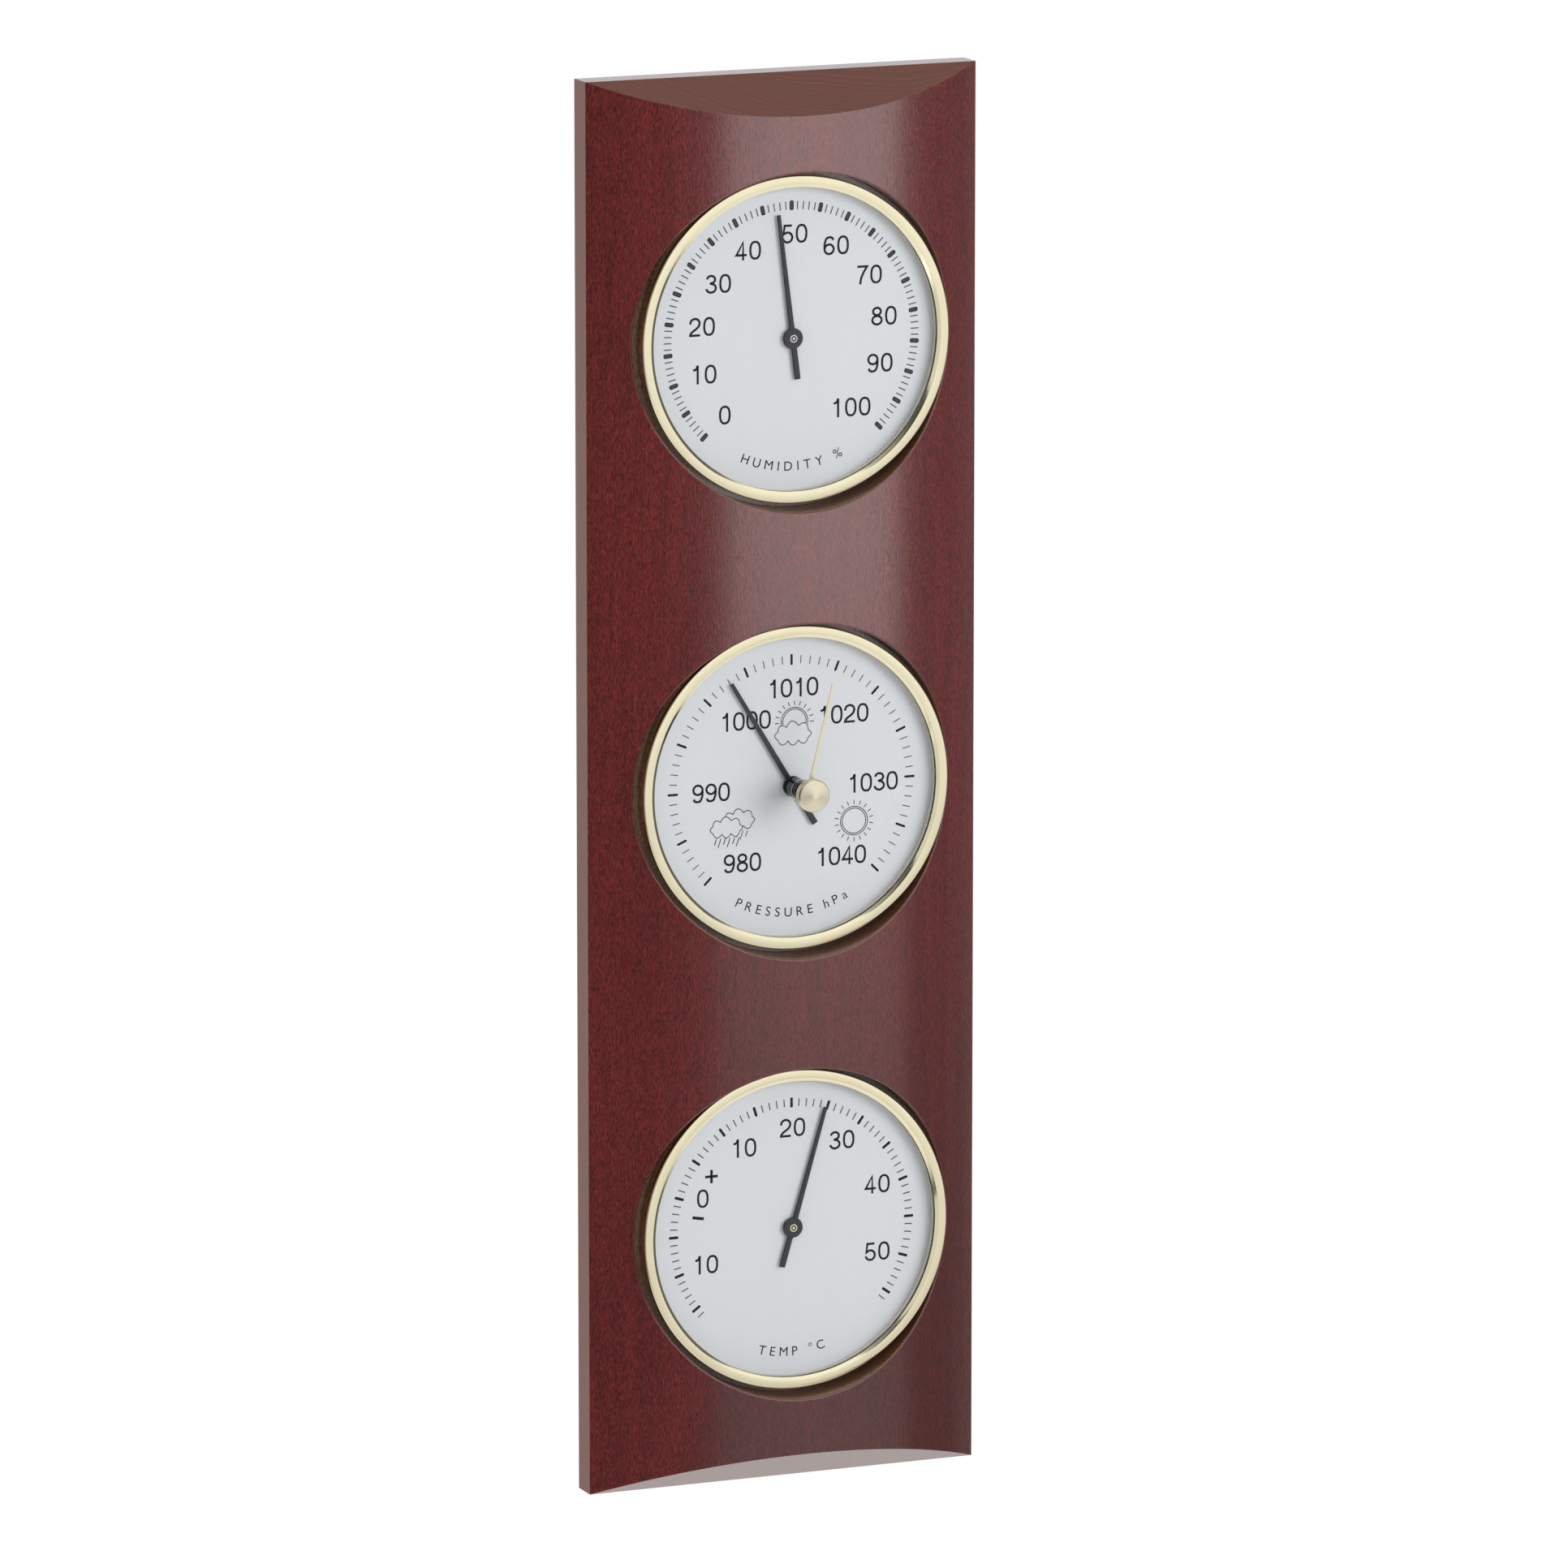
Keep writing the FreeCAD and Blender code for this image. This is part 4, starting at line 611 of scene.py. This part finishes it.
def bar(ink, radius, degrees, length, width, corner=0.0):
    """A mark pointing at the dial's centre."""
    half_width, half_length = width / 2, length / 2
    corners = [(-half_width, -half_length), (half_width, -half_length),
               (half_width, half_length), (-half_width, half_length)]
    outline = rounded(corners, corner) if corner else corners
    ink.polygon(turned(outline, degrees, *on_dial(radius, degrees)))


def scale(name, marks, degrees_per_mark, start_degrees, radius, major, minor):
    """Scale marks, with every fifth one bolder; sizes are (length, width). Returns the print that holds the
    bold ones, for the rest of the dial's print."""
    ink = Print(CENTRE[name], DIAL_FACE)
    fine = Print(CENTRE[name], DIAL_FACE)
    for mark in marks:
        degrees = start_degrees + mark * degrees_per_mark
        if mark % 5 == 0:
            bar(ink, radius, degrees, *major, corner=major[1] / 2)
        else:
            bar(fine, radius, degrees, *minor)
    fine.build(name + "_fine_marks", GREY_INK)
    return ink


def weld(mesh, distance=1e-4):
    """Joins the points that a text's front, back and rim each have of their own. The distance is in
    millimetres."""
    shape = bmesh.new()
    shape.from_mesh(mesh)
    bmesh.ops.remove_doubles(shape, verts=shape.verts, dist=distance)
    shape.to_mesh(mesh)
    shape.free()


def legend(name, words, radius=32.8, cap=2.35, spread=1.3):
    """Words along the dial's lower rim, read from left to right."""
    font_cap = 0.682                   # of the size, for the built-in font
    narrowest = 0.6
    curve = bpy.data.curves.new(name + "_legend", "FONT")
    curve.size = cap / font_cap
    curve.extrude = INK_HEIGHT / MM / 2
    writer = bpy.data.objects.new(name + "_legend", curve)
    bpy.context.scene.collection.objects.link(writer)
    letters = []                       # each letter, its mesh, its middle and its advance
    for letter in words:               # a space is as wide as an i
        curve.body = letter if letter != " " else "i"
        mesh = bpy.data.meshes.new_from_object(writer.evaluated_get(bpy.context.evaluated_depsgraph_get()))
        weld(mesh)
        xs = [vertex.co.x for vertex in mesh.vertices]
        advance = max(max(xs) - min(xs), narrowest) + spread
        letters.append((letter, mesh, (min(xs) + max(xs)) / 2, advance))
    run = -sum(advance for *_, advance in letters) / 2
    points, faces = [], []
    for letter, mesh, middle, advance in letters:
        degrees = 180 - math.degrees((run + advance / 2) / radius)
        run += advance
        if letter != " ":
            first = len(points)
            flat = [(vertex.co.x - middle, vertex.co.y - cap / 2) for vertex in mesh.vertices]
            placed = turned(flat, degrees - 180, *on_dial(radius, degrees))
            for (x, z), vertex in zip(placed, mesh.vertices):
                depth = DIAL_FACE + INK_HEIGHT / 2 + vertex.co.z * MM
                points.append((CENTRE[name].x + x * MM, -depth, CENTRE[name].z + z * MM))
            faces += [[first + i for i in face.vertices] for face in mesh.polygons]
        bpy.data.meshes.remove(mesh)
    bpy.data.objects.remove(writer)
    add_mesh(name + "_legend_print", points, faces, INK, "board")


def hygro_print():
    marks, radius, per_mark, start = range(0, 101), 33.9, 2.7, -135
    ink = scale("hygro", marks, per_mark, start, radius, major=(2.5, 1.15), minor=(2.1, 0.3))
    places = {"0": (-18.3, -18.6), "10": (-24.1, -7.9), "20": (-24.5, 4.3), "30": (-20.1, 15.0),
              "40": (-11.9, 23.0), "50": (0.8, 26.6), "60": (12.2, 23.0), "70": (21.3, 15.0),
              "80": (25.4, 4.2), "90": (24.3, -7.8), "100": (16.3, -18.7)}
    for text, place in places.items():
        number(ink, text, *place)
    ink.build("hygro_print", INK)

    # the bold marks are a little paler inside their outlines
    filling = Print(CENTRE["hygro"], DIAL_FACE, INK_HEIGHT * 1.5)
    for mark in marks[::5]:
        bar(filling, radius, mark * per_mark + start, 2.1, 0.75, corner=0.37)
    filling.build("hygro_mark_fillings", PILL_INK)
    legend("hygro", "HUMIDITY %")


def thermo_print():
    ink = scale("thermo", range(-16, 57), degrees_per_mark=3.6, start_degrees=-72, radius=32.7,
                major=(2.65, 0.72), minor=(2.05, 0.3))
    places = {"0": (-24.6, 9.6), "10": (-13.3, 21.9), "20": (0.3, 26.1), "30": (14.0, 21.7),
              "40": (23.9, 9.2), "50": (23.9, -8.6)}
    for text, place in places.items():
        number(ink, text, *place)
    number(ink, "10", -23.9, -7.8)     # below zero

    # a minus and a plus sign on either side of the zero
    bar(ink, 26.3, -80, 3.2, 0.8)
    plus_x, plus_z = -22.2, 15.2
    for half_x, half_z in ((1.75, 0.35), (0.35, 1.75)):
        ink.polygon([(plus_x + sx * half_x, plus_z + sz * half_z)
                     for sx, sz in ((-1, -1), (1, -1), (1, 1), (-1, 1))])
    ink.build("thermo_print", INK)
    legend("thermo", "TEMP °C")


LINE = 0.21                        # width of the pictograms' lines, in millimetres


def sun(ink, x, z, ring, ray_start, ray_end, rays, first=0.0, last=360.0):
    """A double ring with rays, or the part of it between two angles."""
    outer_ring = ring * 1.15
    for radius in (ring, outer_ring):
        ink.stroke(arc(x, z, radius, radius, first, last, 48), LINE)
    for ray in range(rays):
        angle = math.radians(first + (last - first) * (ray + 0.5) / rays)
        ink.stroke([(x + ray_start * math.cos(angle), z + ray_start * math.sin(angle)),
                    (x + ray_end * math.cos(angle), z + ray_end * math.sin(angle))], LINE)


def cloud(ink, cover, x, z, width):
    """A scalloped cloud outline over a patch of dial paint that hides what is behind it."""
    cusps = [(-0.42, -0.16), (-0.42, 0.04), (-0.18, 0.15), (0.15, 0.18), (0.42, 0.05), (0.42, -0.14),
             (0.14, -0.20), (-0.14, -0.20)]
    bulge = 1.7
    steps = 10
    outline = []
    for i, start in enumerate(cusps):
        start, end = Vector(start), Vector(cusps[(i + 1) % len(cusps)])
        run = end - start
        outward = Vector((-run.y, run.x))
        for step in range(steps):
            share = step / steps
            point = start + run * share + outward * bulge * share * (1 - share)
            outline.append((x + point.x * width, z + point.y * width))
    cover.polygon(outline[::-1])
    ink.stroke(outline, LINE, closed=True)


def rain(ink, x, z, columns, length=2.3, pitch=1.25):
    """A row of slanted strokes, every other one shorter."""
    slant = 0.35
    short = 0.7
    for column in range(columns):
        left = x + (column - (columns - 1) / 2) * pitch
        fall = length * (1.0 if column % 2 else short)
        ink.stroke([(left, z), (left - fall * slant, z - fall)], LINE)


def baro_print():
    ink = scale("baro", range(-30, 31), degrees_per_mark=4.5, start_degrees=0, radius=32.7,
                major=(2.85, 0.62), minor=(2.1, 0.25))
    places = {"980": (-13.6, -19.0), "990": (-22.2, -0.2), "1000": (-12.7, 17.7), "1010": (0.4, 25.4),
              "1020": (14.3, 17.6), "1030": (22.5, -0.7), "1040": (13.7, -19.2)}
    for text, place in places.items():
        number(ink, text, *place, pitch=CLOSE_PITCH)
    sun(ink, 17.3, -10.4, ring=3.25, ray_start=4.3, ray_end=5.4, rays=18)
    sun(ink, 0.8, 16.6, ring=3.2, ray_start=4.3, ray_end=5.4, rays=11, first=-12, last=192)
    rain(ink, -13.4, -10.6, columns=3)
    ink.build("baro_print", INK)

    # clouds lie over the suns and over each other, and the last one rains
    clouds = ((0.4, 13.7, 10.0), (-14.6, -7.6, 8.8), (-18.0, -9.4, 8.8))
    for layer, (x, z, width) in enumerate(clouds, start=1):
        cover = Print(CENTRE["baro"], DIAL_FACE, INK_HEIGHT * (1 + 0.4 * layer))
        outline = Print(CENTRE["baro"], DIAL_FACE, INK_HEIGHT * (1.2 + 0.4 * layer))
        cloud(outline, cover, x, z, width)
        if layer == len(clouds):
            rain(outline, x + 0.4, z - 2.9, columns=6)
        cover.build(f"baro_cloud_{layer}_cover", MATERIAL["dial_paint"])
        outline.build(f"baro_cloud_{layer}_print", INK)
    legend("baro", "PRESSURE hPa")


hygro_print()
thermo_print()
baro_print()


# ---------------------------------------------------------------- pointers

def disc(name, centre, radius, back, front, chamfer, material, body):
    """A round plate with a chamfered front edge."""
    profile = [(0.0, back), (radius, back), (radius, front - chamfer), (radius - chamfer, front),
               (0.0, front)]
    return lathe(name, centre, profile, material, body, steps=96)


def pointer(name, tip, tail, degrees):
    """A flat tapered blade with bevelled edges on a round hub. Its tip and tail are given in millimetres
    from the arbor."""
    node = body = name + "_pointer"
    black = MATERIAL["pointer_black"]
    blade_back, blade_front = 14.8, 15.1
    bevel_width, bevel_height = 0.22, 0.14
    tail_width, middle_width, tip_width = 1.6, 1.5, 1.0
    hub_radius, hub_chamfer = 2.65 * MM, 0.18 * MM
    hub_back = blade_back * MM - 0.2 * MM

    def outline(inset):
        widths = ((-tail + inset, tail_width), (0.0, middle_width), (tip - inset, tip_width))
        left = [(-(width / 2 - inset), z) for z, width in widths]
        right = [(width / 2 - inset, z) for z, width in widths]
        return turned(right + left[::-1], degrees)

    centre = CENTRE[name]
    loops = ((outline(0.0), blade_back), (outline(0.0), blade_front - bevel_height),
             (outline(bevel_width), blade_front))
    points = [(centre.x + x * MM, -depth * MM, centre.z + z * MM) for loop, depth in loops for x, z in loop]
    count = len(loops[0][0])
    faces = [list(range(count))[::-1], list(range(2 * count, 3 * count))]
    for level in range(len(loops) - 1):
        for i in range(count):
            j = (i + 1) % count
            low, high = level * count, (level + 1) * count
            faces.append([low + i, low + j, high + j, high + i])
    blade = add_mesh(name + "_pointer_blade", points, faces, black, body, smooth_angle=10)
    hub = disc(name + "_pointer_hub", centre, hub_radius, hub_back, front_depth(node), hub_chamfer, black,
               body)
    hub.parent = blade
    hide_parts(node)


def pin_end(name, slot):
    """The arbor's turned end: a bright rim and a bright pip, with a black disc between them as painted shade
    in the groove.
    """
    centre = CENTRE[name]
    body = name + "_pointer"
    foot = front_depth(name + "_arbor")
    groove_front, end_front = foot + 0.03 * MM, foot + 0.1 * MM
    groove_radius, groove_chamfer = 0.66 * MM, 0.01 * MM
    pip_radius, pip_chamfer = 0.38 * MM, 0.05 * MM
    rim_radius, rim_front_outer, rim_front_inner = 1.04 * MM, 0.96 * MM, 0.72 * MM
    rim = [(groove_radius, foot), (rim_radius, foot), (rim_front_outer, end_front),
           (rim_front_inner, end_front)]
    lathe(name + "_pin_rim", centre, rim, MATERIAL[slot], body, steps=64)
    # painted shade: a black disc stands for the shade in the shallow groove
    disc(name + "_pin_shade_disc", centre, groove_radius, foot, groove_front, groove_chamfer,
         MATERIAL["pointer_black"], body)
    disc(name + "_pin_pip", centre, pip_radius, groove_front, end_front, pip_chamfer, MATERIAL[slot], body)


pointer("hygro", tip=31.9, tail=10.6, degrees=-7.0)
pointer("thermo", tip=32.2, tail=10.6, degrees=16.5)
pointer("baro", tip=32.4, tail=11.8, degrees=-31.4)
pin_end("hygro", "pale_metal")
pin_end("thermo", "polished_brass")


# ---------------------------------------------------------------- stage, light and camera

AMBIENT = 0.62                     # the world's light on matt surfaces
ORIGIN = (0.0, 0.0, 0.0)


def floor():
    """A plain white floor below the board, which glows to the camera alone."""
    mesh = bpy.data.meshes.new("floor")
    reach, height = 6.0, -0.5
    mesh.from_pydata([(-reach, -reach, height), (reach, -reach, height), (reach, reach, height),
                      (-reach, reach, height)], [], [(0, 1, 2, 3)])
    piece = bpy.data.objects.new("floor", mesh)
    bpy.context.scene.collection.objects.link(piece)
    shader = Shader("floor", (244, 244, 244), 0.9)
    glow = shader.node("ShaderNodeEmission")
    path = shader.node("ShaderNodeLightPath")
    blend = shader.node("ShaderNodeMixShader")
    shader.feed(path.outputs["Is Camera Ray"], blend.inputs[0])
    shader.feed(shader.surface.outputs[0], blend.inputs[1])
    shader.feed(glow.outputs[0], blend.inputs[2])
    shader.feed(blend.outputs[0], shader.tree.nodes["Material Output"].inputs["Surface"])
    mesh.materials.append(shader.material)
    piece.visible_glossy = False       # gloss mirrors the world


def direction(azimuth):
    """A level unit vector; azimuth turns to the right from straight in front of the board."""
    angle = math.radians(azimuth)
    return math.sin(angle), -math.cos(angle), 0.0


def world():
    """White to the camera and an even light on the object. What gloss mirrors is a studio that is dark in
    front, with a softbox on the right, a dimmer light overhead, a bright floor and white paper behind."""
    room = bpy.data.worlds.new("room")
    bpy.context.scene.world = room
    room.use_nodes = True
    nodes = Nodes(room.node_tree, "Generated")
    level = nodes.vector("NORMALIZE", nodes.vector("MULTIPLY", nodes.coordinates, (1.0, 1.0, 0.0)))
    separate = nodes.node("ShaderNodeSeparateXYZ")
    nodes.feed(nodes.coordinates, separate.inputs["Vector"])
    height = separate.outputs["Z"]

    def patch(azimuth, reach, fade):
        """1 within reach degrees of an azimuth, falling to 0 over a further fade."""
        facing = nodes.vector("DOT_PRODUCT", level, direction(azimuth))
        return nodes.span(facing, math.cos(math.radians(reach + fade)), math.cos(math.radians(reach)),
                          kind="SMOOTHSTEP")

    around = nodes.node("ShaderNodeSeparateXYZ")
    nodes.feed(level, around.inputs["Vector"])
    behind = nodes.span(around.outputs["Y"], -0.05, 0.25, 0.15, 1.0, kind="SMOOTHSTEP")
    paper = nodes.math("MULTIPLY", behind, nodes.span(around.outputs["X"], -0.5, 0.3, 0.5, 1.0))
    paper = nodes.math("MULTIPLY", paper, nodes.span(height, 0.5, 0.8, 1.0, 0.2))
    softbox = nodes.math("MULTIPLY", patch(azimuth=26.5, reach=30.5, fade=4),
                         nodes.span(height, -0.30, -0.10, 0.75, 1.1))
    bright = nodes.math("MAXIMUM", paper, softbox)
    overhead, ground = (0.35, 0.7, 0.5), (-0.35, -0.6, 1.0)
    for fade_start, fade_end, strength_there in (overhead, ground):
        beyond = nodes.span(height, fade_start, fade_end, 0.0, strength_there, kind="SMOOTHSTEP")
        bright = nodes.math("MAXIMUM", bright, beyond)
    path = nodes.node("ShaderNodeLightPath")
    even = nodes.span(path.outputs["Is Camera Ray"], 0.0, 1.0, AMBIENT, 1.0)
    strength = nodes.node("ShaderNodeMix")
    nodes.feed(path.outputs["Is Glossy Ray"], strength.inputs["Factor"])
    nodes.feed(even, strength.inputs["A"])
    nodes.feed(bright, strength.inputs["B"])
    nodes.feed(strength.outputs["Result"], nodes.tree.nodes["Background"].inputs["Strength"])
    nodes.tree.nodes["Background"].inputs["Color"].default_value = (1, 1, 1, 1)


def area_light(name, place, aim, width, height, power):
    """A rectangular lamp; sizes are in metres and the power in watts."""
    data = bpy.data.lights.new(name, "AREA")
    data.shape = "RECTANGLE"
    data.size, data.size_y = width, height
    data.energy = power
    lamp = bpy.data.objects.new(name, data)
    lamp.location = place
    lamp.rotation_euler = (Vector(aim) - Vector(place)).to_track_quat("-Z", "Y").to_euler()
    bpy.context.scene.collection.objects.link(lamp)
    return lamp


def shine_only_on(lamp, *pieces):
    """Leaves every other piece out of the lamp's light."""
    receivers = bpy.data.collections.new(lamp.name + "_receivers")
    for piece in pieces:
        receivers.objects.link(piece)
    lamp.light_linking.receiver_collection = receivers


def lights():
    """One softbox lights the object from the front right and one from behind. A near one is mirrored by the
    wood alone, and a small card on the left by the bezels alone."""
    key = area_light("key", (0.70, -1.20, 0.40), ORIGIN, width=1.0, height=1.0, power=12.6)
    key.visible_glossy = False         # its reflection is the world's softbox
    back_fill = area_light("back_fill", (0.75, 1.30, 0.45), ORIGIN, width=1.0, height=1.0, power=9.0)
    back_fill.visible_glossy = False
    sheen = area_light("sheen", (0.26, -0.54, 0.22), (0.0, 0.0, 0.18), width=0.68, height=0.64, power=3.0)
    sheen.visible_diffuse = False
    shine_only_on(sheen, frame["nodes"]["wood_board"])
    card = area_light("card", (-0.46, -0.65, -0.06), ORIGIN, width=0.45, height=0.70, power=0.7)
    card.visible_diffuse = False
    shine_only_on(card, *(bpy.data.objects[f"{dial}_bezel_ring"] for dial in DIALS))


def camera():
    """The photograph's viewing angle, from a long lens instead of a shifted one."""
    yaw, pitch, distance = math.radians(22.72), math.radians(-11.01), 3.0
    target = Vector((-2.5, -15.0, 0.8)) * MM
    forward = Vector((math.sin(yaw) * math.cos(pitch), math.cos(yaw) * math.cos(pitch), math.sin(pitch)))
    data = bpy.data.cameras.new("camera")
    data.lens, data.sensor_width = 270.4, 36.0
    data.clip_end = 50.0
    view = bpy.data.objects.new("camera", data)
    view.location = target - forward * distance
    view.rotation_euler = forward.to_track_quat("-Z", "Y").to_euler()
    bpy.context.scene.collection.objects.link(view)
    bpy.context.scene.camera = view


floor()
world()
lights()
camera()
bpy.context.scene.view_settings.view_transform = "Standard"
